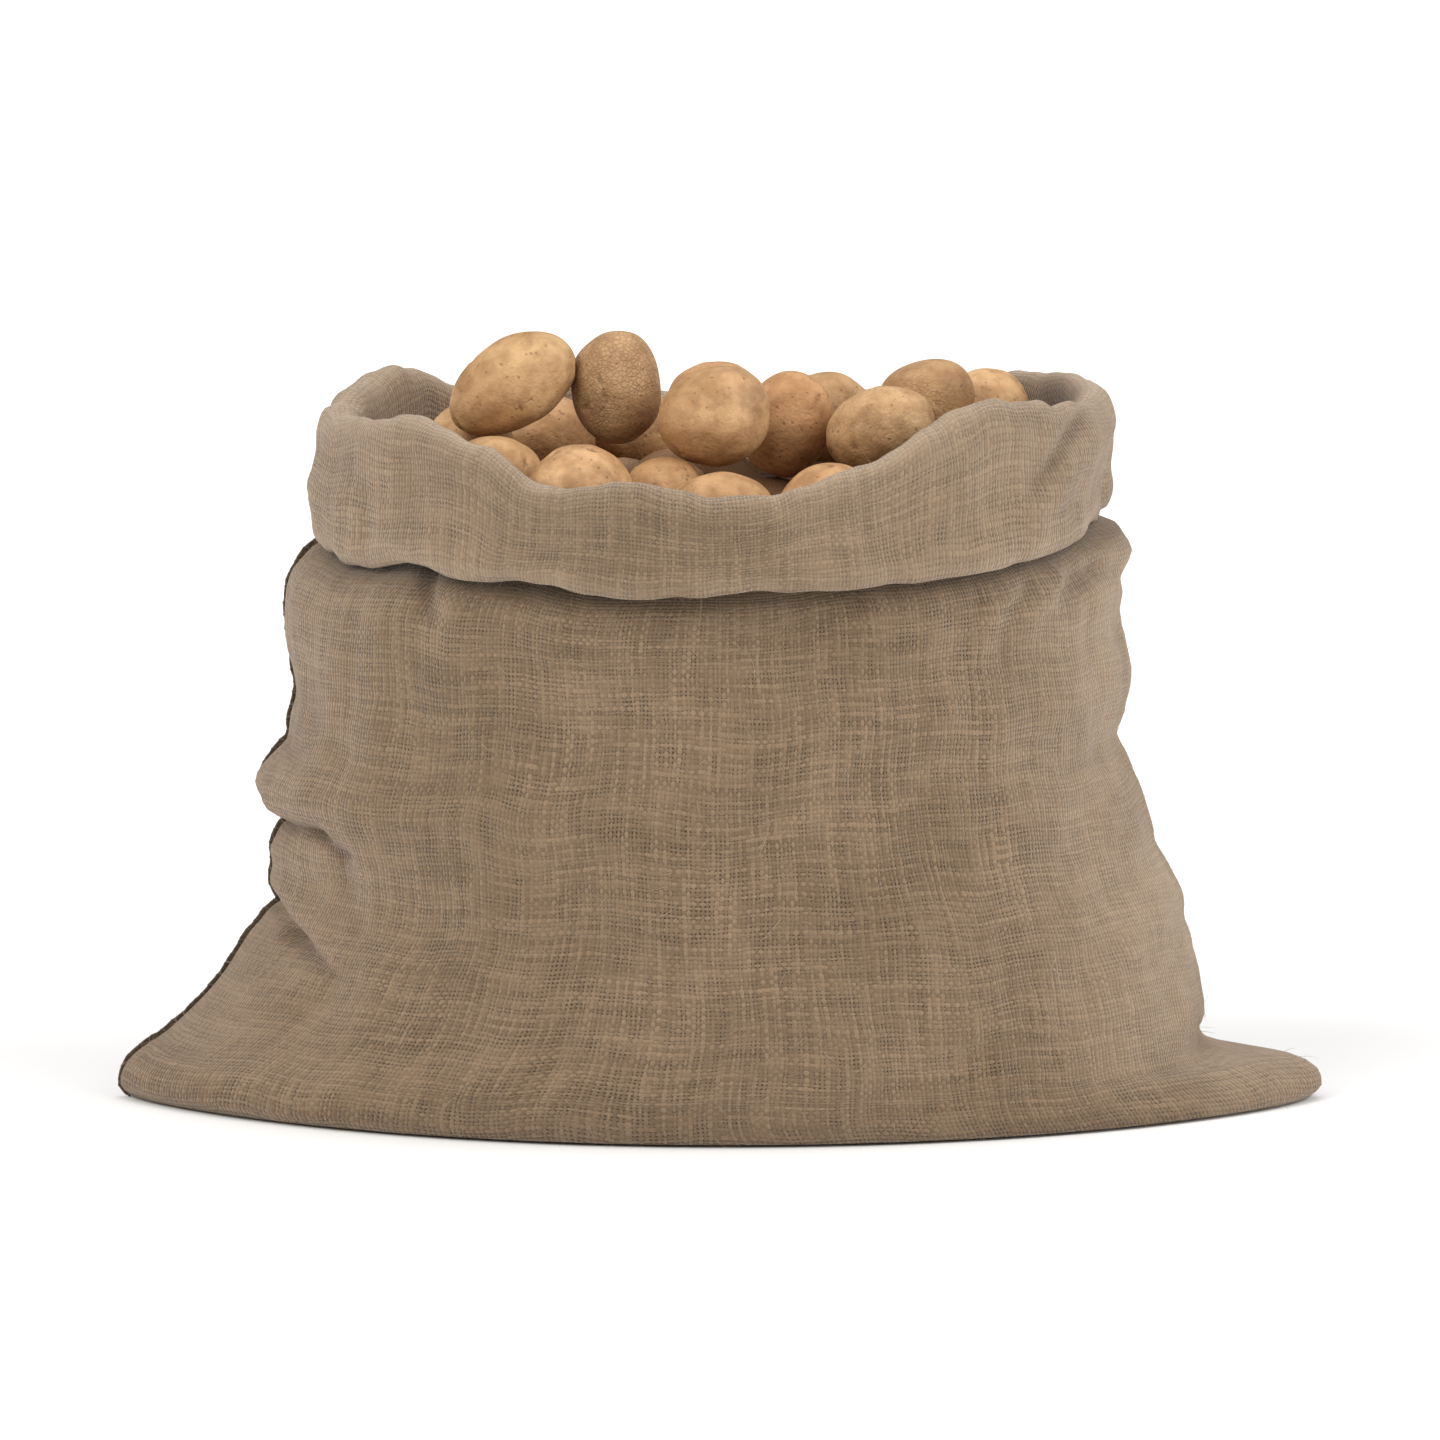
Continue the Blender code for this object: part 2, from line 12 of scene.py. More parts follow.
import bmesh
import bpy
import numpy as np
from mathutils import Euler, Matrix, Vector


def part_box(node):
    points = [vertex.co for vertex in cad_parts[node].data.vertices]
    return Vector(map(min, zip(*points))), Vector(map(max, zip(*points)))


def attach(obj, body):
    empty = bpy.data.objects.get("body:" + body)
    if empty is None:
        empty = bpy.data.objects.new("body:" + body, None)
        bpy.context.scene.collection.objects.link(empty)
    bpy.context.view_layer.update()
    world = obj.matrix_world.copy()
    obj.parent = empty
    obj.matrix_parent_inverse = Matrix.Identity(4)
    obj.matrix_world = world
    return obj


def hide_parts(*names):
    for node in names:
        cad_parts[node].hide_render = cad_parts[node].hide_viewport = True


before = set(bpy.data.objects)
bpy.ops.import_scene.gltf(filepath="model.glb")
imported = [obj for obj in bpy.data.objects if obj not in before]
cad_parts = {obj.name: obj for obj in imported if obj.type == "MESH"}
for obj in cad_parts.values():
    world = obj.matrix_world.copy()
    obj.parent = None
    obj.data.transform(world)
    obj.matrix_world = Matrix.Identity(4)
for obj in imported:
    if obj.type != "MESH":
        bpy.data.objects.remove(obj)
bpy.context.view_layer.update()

# ------------------------ the sack's sizes, as in the CAD model

CLOTH = 0.002
FLOOR_RINGS = (0.02, 0.30, 0.62, 0.88)

Section = namedtuple("Section", "height left right front back left_pinch right_pinch")
BODY = (
    Section(0.0024, 0.2870, 0.2360, 0.1490, 0.1470, 1.58, 1.00),
    Section(0.0070, 0.2915, 0.2380, 0.1525, 0.1505, 1.58, 1.01),
    Section(0.0140, 0.2905, 0.2385, 0.1552, 0.1532, 1.60, 1.02),
    Section(0.0205, 0.2865, 0.2385, 0.1574, 0.1554, 1.62, 1.03),
    Section(0.0245, 0.2815, 0.2385, 0.1584, 0.1564, 1.64, 1.03),
    Section(0.0290, 0.2750, 0.2380, 0.1594, 0.1574, 1.65, 1.04),
    Section(0.0400, 0.2605, 0.2365, 0.1617, 0.1597, 1.65, 1.06),
    Section(0.0560, 0.2450, 0.2340, 0.1642, 0.1622, 1.58, 1.08),
    Section(0.0780, 0.2320, 0.2273, 0.1665, 0.1645, 1.42, 1.08),
    Section(0.1000, 0.2170, 0.2195, 0.1680, 0.1660, 1.30, 1.07),
    Section(0.1180, 0.2140, 0.2120, 0.1690, 0.1670, 1.24, 1.08),
    Section(0.1360, 0.2165, 0.2055, 0.1695, 0.1675, 1.20, 1.06),
    Section(0.1560, 0.2210, 0.2005, 0.1700, 0.1680, 1.14, 1.04),
    Section(0.1800, 0.2110, 0.1940, 0.1705, 0.1685, 1.10, 1.02),
    Section(0.2080, 0.2070, 0.1975, 0.1710, 0.1690, 1.05, 1.00),
    Section(0.2340, 0.2085, 0.1930, 0.1715, 0.1695, 1.00, 1.00),
)
NECK = Section(0.0, 0.1735, 0.1710, 0.1700, 0.1680, 1.00, 1.00)

# The right ear: how far it reaches past the body at each height, and its half depth at its root.
Ear = namedtuple("Ear", "height reach half_depth")
RIGHT_EAR = (
    Ear(0.0010, 0.0510, 0.090),
    Ear(0.0070, 0.0545, 0.072),
    Ear(0.0140, 0.0520, 0.058),
    Ear(0.0205, 0.0405, 0.048),
    Ear(0.0245, 0.0070, 0.042),
    Ear(0.0290, 0.0000, 0.036),
)
EAR_BEND = 1.5  # exponent of its outline seen from above

Cuff = namedtuple("Cuff", "angle rim edge fold")
CUFF = (
    Cuff(0, 0.347, 0.288, 0.0085),
    Cuff(22, 0.348, 0.283, 0.0080),
    Cuff(44, 0.3555, 0.279, 0.0070),
    Cuff(56, 0.345, 0.277, 0.0068),
    Cuff(66, 0.331, 0.276, 0.0065),
    Cuff(82, 0.318, 0.273, 0.0065),
    Cuff(92, 0.3165, 0.271, 0.0065),
    Cuff(103, 0.3225, 0.271, 0.0065),
    Cuff(113, 0.3195, 0.272, 0.0065),
    Cuff(121, 0.3235, 0.274, 0.0068),
    Cuff(129, 0.336, 0.276, 0.0070),
    Cuff(140, 0.346, 0.277, 0.0075),
    Cuff(158, 0.340, 0.273, 0.0085),
    Cuff(180, 0.338, 0.277, 0.0095),
    Cuff(199, 0.344, 0.283, 0.0115),
    Cuff(214, 0.347, 0.280, 0.0120),
    Cuff(227, 0.334, 0.275, 0.0100),
    Cuff(242, 0.334, 0.272, 0.0085),  # its rim is 7 mm above the CAD model's
    Cuff(270, 0.325, 0.272, 0.0070),
    Cuff(300, 0.331, 0.274, 0.0070),
    Cuff(322, 0.341, 0.278, 0.0075),
    Cuff(342, 0.348, 0.284, 0.0085),
)
CUFF_FLARE = 0.003
CURL = 0.0035
CURL_TAIL = 0.005
RIM_TURNS = (180, 135, 90, 45, 0)
CUFF_SHARES = (0.35, 0.7, 1.0)
CURL_TURNS = (60, 120, 180)

Shoulder = namedtuple("Shoulder", "below inward")
SHOULDERS = (
    Shoulder(0.021, 0.04),
    Shoulder(0.010, 0.25),
    Shoulder(0.003, 0.65),
    Shoulder(-0.006, 1.00),
)

# Folds seen from the front, each along a line: how far it pushes the cloth out, and how wide.
Fold = namedtuple("Fold", "x0 z0 x1 z1 out width")
MAIN_FOLDS = (
    Fold(-0.212, 0.139, -0.184, 0.121, -0.005, 0.011),
    Fold(-0.215, 0.162, -0.19, 0.152, 0.003, 0.014),
    Fold(-0.22, 0.083, -0.194, 0.062, -0.006, 0.012),
    Fold(-0.205, 0.3, -0.196, 0.305, 0.006, 0.012),
    Fold(0.181, 0.334, 0.152, 0.303, 0.005, 0.012),
    Fold(0.196, 0.273, 0.19, 0.272, 0.012, 0.011),
    Fold(0.196, 0.298, 0.186, 0.294, -0.006, 0.018),
)
FOLD_FADE = 0.035

# ------------------------ finer cloth sizes

COLUMNS = 360
FRONT_DENSITY = 0.8  # how much closer the columns are at the front than at the back
DENSITY_TURN = 3  # how sharply that changes at the sides
ANGLE_SAMPLES = 3601
SEAM_ANGLE = 180
FLAT_ROUND = 1.2  # the cloth's width, which goes once round: two sides of 0.6

# Steps between one row of the cloth and the next, part by part.
STEPS = (
    [2] * len(FLOOR_RINGS)  # base
    + [2, 2, 2, 2, 2, 3, 4, 6, 7, 6, 6, 6, 6, 7, 6]  # body
    + [4, 3, 3, 3]  # shoulders
    + [3, 4]  # neck
    + [3, 3, 3, 3]  # over the rim
    + [6, 6, 6]  # cuff
    + [2, 2, 2, 2]  # curl and tail
)
# The fine rows where each part begins, and how many coarse rows lead to each.
Marks = namedtuple("Marks", "body neck rim crown cuff hem")
MARK_STEPS = (len(FLOOR_RINGS), len(BODY) + len(SHOULDERS), 1, 2, 2, len(CUFF_SHARES))

# Fine rows over which the cloth becomes free to bulge and crease.
BASE_HELD = 14
NECK_HELD = 3
CUFF_HELD = 4
MID_CUFF = 8  # rows down the cuff, where the rim's ripples end and the hem's begin
GIRTH_ROW = 30  # rows above the base, where the sack's girth is measured

# Finer creases on the front, in the same way as the main folds.
FOLD_TAPER = 0.65  # what they lose of their depth by their far end
FINE_FOLDS = (
    Fold(-0.226, 0.158, -0.204, 0.15, 0.0022, 0.0115),  # the left bulge, creased over and under
    Fold(-0.219, 0.178, -0.198, 0.172, -0.003, 0.006),
    Fold(-0.221, 0.1365, -0.195, 0.1405, -0.0088, 0.004),
    Fold(-0.195, 0.1405, -0.181, 0.131, -0.0066, 0.004),
    Fold(-0.181, 0.131, -0.178, 0.11, -0.003, 0.005),
    Fold(-0.214, 0.147, -0.18, 0.143, 0.0022, 0.006),
    Fold(-0.214, 0.124, -0.19, 0.123, 0.0026, 0.006),
    Fold(-0.224, 0.105, -0.207, 0.086, -0.0084, 0.0042),  # the left ear's root
    Fold(-0.207, 0.086, -0.186, 0.0725, -0.007, 0.0042),
    Fold(-0.207, 0.1, -0.186, 0.085, 0.0024, 0.0065),
    Fold(-0.222, 0.11, -0.206, 0.104, 0.0024, 0.006),  # small bump over it
    Fold(-0.232, 0.078, -0.214, 0.05, 0.0016, 0.009),
    Fold(-0.206, 0.2, -0.178, 0.186, -0.0016, 0.008),
    Fold(-0.204, 0.297, -0.186, 0.301, 0.005, 0.0095),  # second lobe of the cuff's left end
    Fold(-0.202, 0.318, -0.184, 0.321, -0.0026, 0.007),
    Fold(0.237, 0.036, 0.2385, 0.0, -0.0052, 0.0044),  # the right ear's root
    Fold(0.229, 0.05, 0.23, 0.004, 0.0016, 0.0065),
    Fold(0.175, 0.344, 0.15, 0.313, -0.0056, 0.0042),  # slanting crease on the cuff's right end
    Fold(0.184, 0.332, 0.162, 0.31, 0.0022, 0.006),
    Fold(0.19, 0.338, 0.176, 0.318, 0.0016, 0.006),
    Fold(0.14, 0.34, 0.116, 0.316, 0.0014, 0.007),
    Fold(-0.15, 0.33, -0.118, 0.314, -0.0012, 0.007),
    Fold(-0.176, 0.322, -0.17, 0.286, -0.0018, 0.006),
    Fold(-0.141, 0.272, -0.14, 0.258, -0.007, 0.0042),  # hook under the cuff, left
    Fold(-0.128, 0.27, -0.125, 0.244, 0.0028, 0.006),
    Fold(-0.186, 0.262, -0.15, 0.256, 0.0016, 0.006),
    Fold(0.171, 0.264, 0.152, 0.236, -0.0026, 0.0044),  # gathers beside the knob
    Fold(0.16, 0.266, 0.141, 0.24, 0.0018, 0.0048),
    Fold(0.148, 0.264, 0.13, 0.236, -0.0022, 0.0044),
    Fold(0.138, 0.262, 0.122, 0.24, 0.0014, 0.005),
    Fold(0.124, 0.262, 0.114, 0.238, -0.0014, 0.005),
    Fold(0.2, 0.182, 0.172, 0.174, -0.0026, 0.007),  # scallops down the right side
    Fold(0.212, 0.128, 0.19, 0.112, -0.002, 0.007),
    Fold(0.218, 0.104, 0.2, 0.082, 0.0014, 0.008),
    Fold(0.226, 0.09, 0.206, 0.074, -0.0018, 0.0065),
)
# The same on the body alone, round the knob at the right, and on the cuff alone.
KNOB_CREASES = (
    Fold(0.206, 0.26, 0.182, 0.266, -0.0078, 0.005),
    Fold(0.182, 0.266, 0.166, 0.262, -0.0044, 0.0045),
)
KNOB_SHAPE = (  # the knob itself, and the hollow under it
    Fold(0.182, 0.2845, 0.2, 0.284, 0.012, 0.006),
    Fold(0.203, 0.276, 0.19, 0.276, 0.0046, 0.007),
    Fold(0.202, 0.248, 0.186, 0.244, -0.0062, 0.012),
)
CUFF_FOLDS = (
    Fold(0.19, 0.288, 0.193, 0.325, -0.0055, 0.013),
    Fold(0.196, 0.335, 0.194, 0.3, -0.0024, 0.011),
)

# Soft pleats where the neck draws the cloth in, and weaker ones on the cuff: how far above the
# cuff's edge they are deepest, how far they reach down and up from there, and their share of the depth.
GATHER_SEED = 11
GATHER_COUNT = 46
GATHER_DEPTH = 0.0012
GATHER_RING = (0.20, 0.17)
Pleats = namedtuple("Pleats", "rise down up share")
NECK_PLEATS = Pleats(0.0, 0.045, 0.012, 1.0)
CUFF_PLEATS = Pleats(0.03, 0.05, 0.05, 0.6)

# Potatoes that press the cloth out.
LUMP_SEED = 5
LUMP_COUNT = 60
LUMP_PRESS = 0.0022
LUMP_WIDTH = 0.030
LUMP_RING = (0.21, 0.17)
LUMP_HEIGHTS = (0.03, 0.24)

# Unevenness in layers of wavelength, height or reach, and seed.
SOFT_WAVES = ((0.090, 0.0009, 20), (0.036, 0.0005, 21), (0.015, 0.00024, 22))
SOFT_ON_CUFF = 0.9
BACK_WAVES = ((0.100, 0.0040, 41), (0.045, 0.0012, 42))
BACK_ON_CUFF = 0.5
BACK_FROM = (0.015, 0.110)  # how far back they begin, and are full
DRAPE = (1.0, 1.0, 0.45)  # draws the back's waves out upright
RIM_RIPPLES = ((0.05, 0.0012, 31), (0.02, 0.0006, 32))
HEM_RIPPLES = ((0.06, 0.0010, 33), (0.02, 0.0004, 34))
YARNS_ASIDE = ((0.062, 0.0010, 50), (0.012, 0.00016, 60))
YARNS_ALONG = ((0.062, 0.0010, 51), (0.012, 0.00016, 61))
BLOTCHES = ((0.120, 0.10, 70), (0.052, 0.05, 71), (0.024, 0.03, 72))

# Where the cloth is painted paler: painted light on its sides, cuff and right ear, a painted highlight
# with some wear along the rim, and paler cloth along the hem. Sides are counted from 0 in the middle to
# 1 at the ends.
RIM_WEAR_AND_HIGHLIGHT, RIM_WEAR_AND_HIGHLIGHT_ROWS = 0.64, 5.0
HEM_PALER, HEM_PALER_ROWS = 0.25, 2.5
SIDE_PAINTED_LIGHT_LEFT, SIDE_PAINTED_LIGHT_RIGHT = 0.14, 0.55
SIDE_PAINTED_LIGHT_FROM, SIDE_PAINTED_LIGHT_BEND = 0.60, 1.5
CUFF_PAINTED_LIGHT, CUFF_PAINTED_LIGHT_LEAN = 0.16, 0.06
EAR_PAINTED_LIGHT, EAR_PAINTED_LIGHT_HEIGHT, EAR_PAINTED_LIGHT_FROM = 0.35, 0.020, 0.235

# Where shade is painted into the cloth: in creases, under the cuff's edge and inside the mouth; near
# the floor it is dirt as well as painted contact shade.
SHADE_AND_DIRT_MOST = 0.95
LOW_DIRT_AND_SHADE, LOW_DIRT_AND_SHADE_HEIGHT = 0.40, 0.010
CREASE_PAINTED_SHADE, CREASE_FULL, CREASE_BEND = 0.62, 0.0045, 1.2
CREASE_END_FROM, CREASE_END_LOSS = 0.90, 0.8  # creases get less painted shade at the sack's right end
UNDER_CUFF_PAINTED_SHADOW, UNDER_CUFF_REACH = 0.92, 0.0100
INSIDE_SHADE_LEFT, INSIDE_SHADE_RIGHT = 0.20, 0.95

# The weave.
WARP_PITCH = 0.0021  # one warp yarn to the next
WEFT_PITCH = 0.0023
WEAVE_RELIEF = 0.0008
YARN_HEIGHT, YARN_SWING = 0.58, 0.42  # its mean height, and how far it goes over and under
LANE_STEP = 7.31  # keeps neighbouring yarns' unevenness apart
TONE_SHIFT = 3.7  # keeps a yarn's tone apart from its thickness
SLUB_RUN = 0.085  # how fast its thickness changes from yarn to yarn that it crosses
TONE_RUN = 0.035
FUZZ_SCALE = 1100.0

# ------------------------ potatoes, seam, fibres and stage

POTATO_SEED = 100
SMOOTH_LEVELS = 3
WELD = 0.00005
ANY_ANGLE = 3.2  # more than half a turn, so that all pairs of triangles are joined
DENTS = ((0.045, 0.026, 200), (0.018, 0.008, 300))  # heights as shares of the potato's half length
EYES = 7
EYE_WIDTH = 0.15  # as shares of it too
EYE_DEPTH = 0.042
BROW_RISE = 0.020
EYE_BEND = 0.35
EYE_FLATNESS = 0.45
BROW_PLACE, BROW_SHARPNESS = 1.7, 0.8  # beside the eye, in its own widths
SKIN_SPILL = 0.0004  # how far the skin may pass the potato's CAD box
# How pink and how russet the potatoes at the front are.
BLUSH = {"potato_01": 0.0, "potato_02": 0.05, "potato_03": 0.16, "potato_04": 0.65, "potato_05": 0.60}
RUSSET = {"potato_02": 0.60, "potato_04": 0.35, "potato_05": 0.25, "potato_08": 0.40}

# The next two layers down, seen only through the gaps, and the heap's own body under them.
LOWER_SEED = 41
LOWER_PITCH = 0.046
LOWER_COUNT = 4  # rows and columns on each side of the middle one
LOWER_HALF = (0.0290, 0.0255, 0.0240)
LOWER_DEPTH = 0.039  # their centres lie this far below those of the top layer
LAYER_DEPTH = 0.030  # from one of them to the next
LAYER_SHIFT = 0.66  # in rows
LOWER_STRAY = 0.002
# A high russet share, which makes them darker: painted shade deep in the heap.
LOWER_TONE = 0.85
LOWER_BLUSH = 0.30
LOWER_SHADE_HEIGHTS = (0.331, 0.303)  # heights where their painted shade begins, and is deepest
LOWER_DENTS = 5
MOUND_TOP = 0.329
MOUND_DROP = 0.031
MOUND_REACH = (0.158, 0.152)
LOWER_REACH = 0.90
CORE_TOP = 0.10  # depth of the heap's top part, which sinks
CORE_SINK = 0.020
CORE_INSET = 0.955

SEAM_OUT = 0.0033  # how far the sewn edges stand out from the cloth
SEAM_HALF = 0.62  # half their width, as a share of that
SEAM_THICK = 0.0022
SEAM_BACK = 5  # columns from the side towards the back
SEAM_STEP = 0.002
SEAM_SIDES = 10
SEAM_BELOW_NECK = 6  # rows
SEAM_YARN = 0.0009  # cloth from one of its sides to the next
SEAM_WAVES = ((0.0002, 0.9), (0.0001, 2.3))  # height, and turn per step
SEAM_UNEVEN, SEAM_UNEVEN_TURN = 0.1, 1.7
STITCH_STEP = 0.0065
STITCH_UNEVEN, STITCH_UNEVEN_TURN = 0.5, 0.37
TWINE = 0.00045  # its radius
TWINE_OUT = 0.56  # how far it reaches from the edges' middle, as a share of SEAM_OUT
TWINE_CLEAR = 0.6  # of its radius, from the edges' sides
TWINE_SIDES = 6
OFF_AXIS = (0.31, 0.85, 0.42)  # never along the twine
TWINE_SHARE = 0.25  # of a seam step, from one of its points to the next

FIBRE_SEED = 77
FIBRE_COUNT = 3600
FIBRE_RADIUS = 0.00011
FIBRE_POINTS = 5
FIBRE_SIDES = 3
FIBRE_ROOT = 0.0008
FIBRE_SHORTEST, FIBRE_LONGEST = 0.002, 0.020
FIBRE_LENGTHS = (2.2, 0.0032)  # shape and scale of their spread
FIBRE_DROOP = 0.45  # of its rise, lost again at its tip
FIBRE_RUN, FIBRE_CURL = 0.8, 0.5
FIBRE_TAPER = 0.75
LOWEST_EDGE, LOWEST_FIBRE = 0.0004, 0.0005  # above the floor

FLOOR_RADIUS = 60.0
FLOOR_SIDES = 96
SKY = 0.46
CAMERA_DISTANCE = 8.0
CAMERA_RISE = 8.0  # degrees
CAMERA_AIM = (0.0, 0.0, 0.186)
SENSOR = 36.0
FIELD = 0.70  # width of the view at the sack

# ------------------------ small helpers


def unit(vectors):
    return vectors / np.maximum(np.linalg.norm(vectors, axis=-1, keepdims=True), 1e-12)


def soft_step(low, high, value):
    share = np.clip((value - low) / (high - low), 0.0, 1.0)
    return share * share * (3 - 2 * share)


def running_total(steps):
    return np.concatenate([[0], np.cumsum(steps)])


def hermite(t, start, end, start_slope, end_slope):
    """The point at share t of a smooth span. Slopes are per span."""
    return (
        (2 * t**3 - 3 * t**2 + 1) * start
        + (t**3 - 2 * t**2 + t) * start_slope
        + (3 * t**2 - 2 * t**3) * end
        + (t**3 - t**2) * end_slope
    )


def in_between(points, known, wanted):
    """Points at the wanted places of a line whose points lie at the known ones."""
    return np.stack([np.interp(wanted, known, points[:, k]) for k in range(3)], axis=1)


def waves(points, wavelength, seed, count=9):
    """Smooth unevenness of about 1 up and down, from waves that cross each other."""
    draw = np.random.default_rng(seed)
    ways = unit(draw.normal(size=(count, 3)))
    lengths = wavelength * draw.uniform(0.75, 1.35, count)
    phases = draw.uniform(0, 2 * math.pi, count)
    total = np.zeros(points.shape[:-1])
    for way, length, phase in zip(ways, lengths, phases):
        total += np.sin(points @ way * (2 * math.pi / length) + phase)
    return total * math.sqrt(2 / count)


def layered(points, layers):
    """Unevenness made of several waves, each with its wavelength, height and seed."""
    return sum(height * waves(points, wavelength, seed) for wavelength, height, seed in layers)


def linked(name, data):
    item = bpy.data.objects.new(name, data)
    bpy.context.scene.collection.objects.link(item)
    return item


def mesh_object(name, points, faces, material):
    """A smooth mesh in the scene."""
    mesh = bpy.data.meshes.new(name)
    mesh.from_pydata([tuple(p) for p in points], [], faces)
    mesh.validate()
    mesh.shade_smooth()
    mesh.materials.append(material)
    return linked(name, mesh)


def bake_modifiers(item):
    """The object's mesh becomes what its modifiers make of it."""
    graph = bpy.context.evaluated_depsgraph_get()
    made = bpy.data.meshes.new_from_object(item.evaluated_get(graph))
    item.modifiers.clear()
    old = item.data
    item.data = made
    bpy.data.meshes.remove(old)


def positions(mesh):
    points = np.empty(len(mesh.vertices) * 3)
    mesh.vertices.foreach_get("co", points)
    return points.reshape(-1, 3)


def set_values(mesh, name, values):
    """A value for each vertex, or one for all, which the material reads."""
    layer = mesh.attributes.new(name, "FLOAT", "POINT")
    layer.data.foreach_set("value", np.full(len(mesh.vertices), values, dtype=np.float32))


def set_uvs(mesh, places):
    """The flat place of each face corner on the cloth. Corners past the given ones lie at its start."""
    flat = np.zeros((len(mesh.loops), 2), dtype=np.float32)
    flat[: len(places)] = places
    mesh.uv_layers.new(name="cloth").data.foreach_set("uv", flat.ravel())


def tube_faces(count, sides, first=0):
    """Faces over this many rings of points, counted from the first point, then the two ends."""
    faces = []
    for low in range(first, first + (count - 1) * sides, sides):
        for corner in range(sides):
            after = (corner + 1) % sides
            faces.append((low + corner, low + after, low + sides + after, low + sides + corner))
    last = first + (count - 1) * sides
    faces.append(tuple(range(first + sides - 1, first - 1, -1)))
    faces.append(tuple(range(last, last + sides)))
    return faces


def ring_ways(first, second, sides):
    """Ways from the points of a path to the rings round them, from two ways across the path."""
    turns = (2 * math.pi * np.arange(sides) / sides)[:, None]
    return np.cos(turns) * first[..., None, :] + np.sin(turns) * second[..., None, :]


# ------------------------ materials


def grey(value):
    return (value, value, value, 1)


class Shader:
    """Builds one material's nodes. Sockets and plain numbers can both be given as inputs."""

    def __init__(self, name):
        self.material = bpy.data.materials.new(name)
        self.material.use_nodes = True
        self.tree = self.material.node_tree
        self.surface = self.tree.nodes["Principled BSDF"]

    def node(self, kind, values=None, **settings):
        node = self.tree.nodes.new(kind)
        for key, value in settings.items():
            setattr(node, key, value)
        for key, value in (values or {}).items():
            self.put(node.inputs[key], value)
        return node

    def put(self, socket, value):
        if isinstance(value, bpy.types.NodeSocket):
            self.tree.links.new(value, socket)
        else:
            socket.default_value = value

    def surfaced(self, **values):
        """The material, once its surface has these inputs, named with underscores for spaces."""
        for key, value in values.items():
            self.put(self.surface.inputs[key.replace("_", " ")], value)
        return self.material

    def math(self, operation, first, second=0.0, third=None):
        values = {0: first, 1: second}
        if third is not None:
            values[2] = third
        return self.node("ShaderNodeMath", values, operation=operation).outputs[0]

    def times(self, first, second):
        return self.math("MULTIPLY", first, second)

    def times_plus(self, first, second, third):
        return self.math("MULTIPLY_ADD", first, second, third)

    def joined(self, x, y):
        return self.node("ShaderNodeCombineXYZ", {0: x, 1: y}).outputs[0]

    def noise(self, vector, scale, detail=2.0, roughness=0.5, flat=False):
        values = {"Vector": vector, "Scale": scale, "Detail": detail, "Roughness": roughness}
        sides = "2D" if flat else "3D"
        return self.node("ShaderNodeTexNoise", values, noise_dimensions=sides).outputs["Fac"]

    def cells(self, vector, scale, feature="F1"):
        values = {"Vector": vector, "Scale": scale}
        return self.node("ShaderNodeTexVoronoi", values, feature=feature).outputs["Distance"]

    def ramp(self, value, low, high, to_low=0.0, to_high=1.0):
        values = {"Value": value, "From Min": low, "From Max": high}
        values.update({"To Min": to_low, "To Max": to_high})
        node = self.node("ShaderNodeMapRange", values, interpolation_type="SMOOTHSTEP")
        return node.outputs["Result"]

    def mix(self, share, first, second, blend="MIX"):
        node = self.node("ShaderNodeMix", data_type="RGBA", blend_type=blend)
        self.put(node.inputs[0], share)
        self.put(node.inputs[6], first)
        self.put(node.inputs[7], second)
        return node.outputs[2]

    def tint(self, colour, factors, share=1.0):
        return self.mix(share, colour, factors, "MULTIPLY")

    def attribute(self, name):
        return self.node("ShaderNodeAttribute", attribute_name=name).outputs["Fac"]

    def place(self):
        return self.node("ShaderNodeTexCoord").outputs["Object"]

    def bump(self, height, distance, strength=1.0):
        values = {"Height": height, "Distance": distance, "Strength": strength}
        return self.node("ShaderNodeBump", values).outputs["Normal"]


def yarns(s, own, other, side):
    """Height and tone of one set of yarns: own counts across them, and other runs along them.

    side is 1 or -1, so that one set goes over where the other goes under.
    """
    index = s.math("FLOOR", own)
    aside = s.math("ABSOLUTE", s.math("SUBTRACT", s.math("FRACT", own), 0.5))
    lane = s.times(index, LANE_STEP)
    slub = s.noise(s.joined(lane, s.times(other, SLUB_RUN)), 1.0, 0.0, flat=True)
    tone_place = s.joined(s.math("ADD", lane, TONE_SHIFT), s.times(other, TONE_RUN))
    tone = s.noise(tone_place, 1.0, 1.0, flat=True)
    width = s.ramp(slub, 0.30, 0.70, 0.62, 1.14)
    share = s.math("DIVIDE", s.times(aside, 2.0), width)
    round_top = s.math("SUBTRACT", 1.0, s.times(share, share))
    profile = s.math("SQRT", s.math("MAXIMUM", round_top, 0.0))
    sign = s.times_plus(s.math("FLOORED_MODULO", index, 2.0), -2.0, 1.0)
    wave = s.times(sign, s.math("SINE", s.times(other, math.pi)))
    return s.times(profile, s.times_plus(wave, YARN_SWING * side, YARN_HEIGHT)), tone


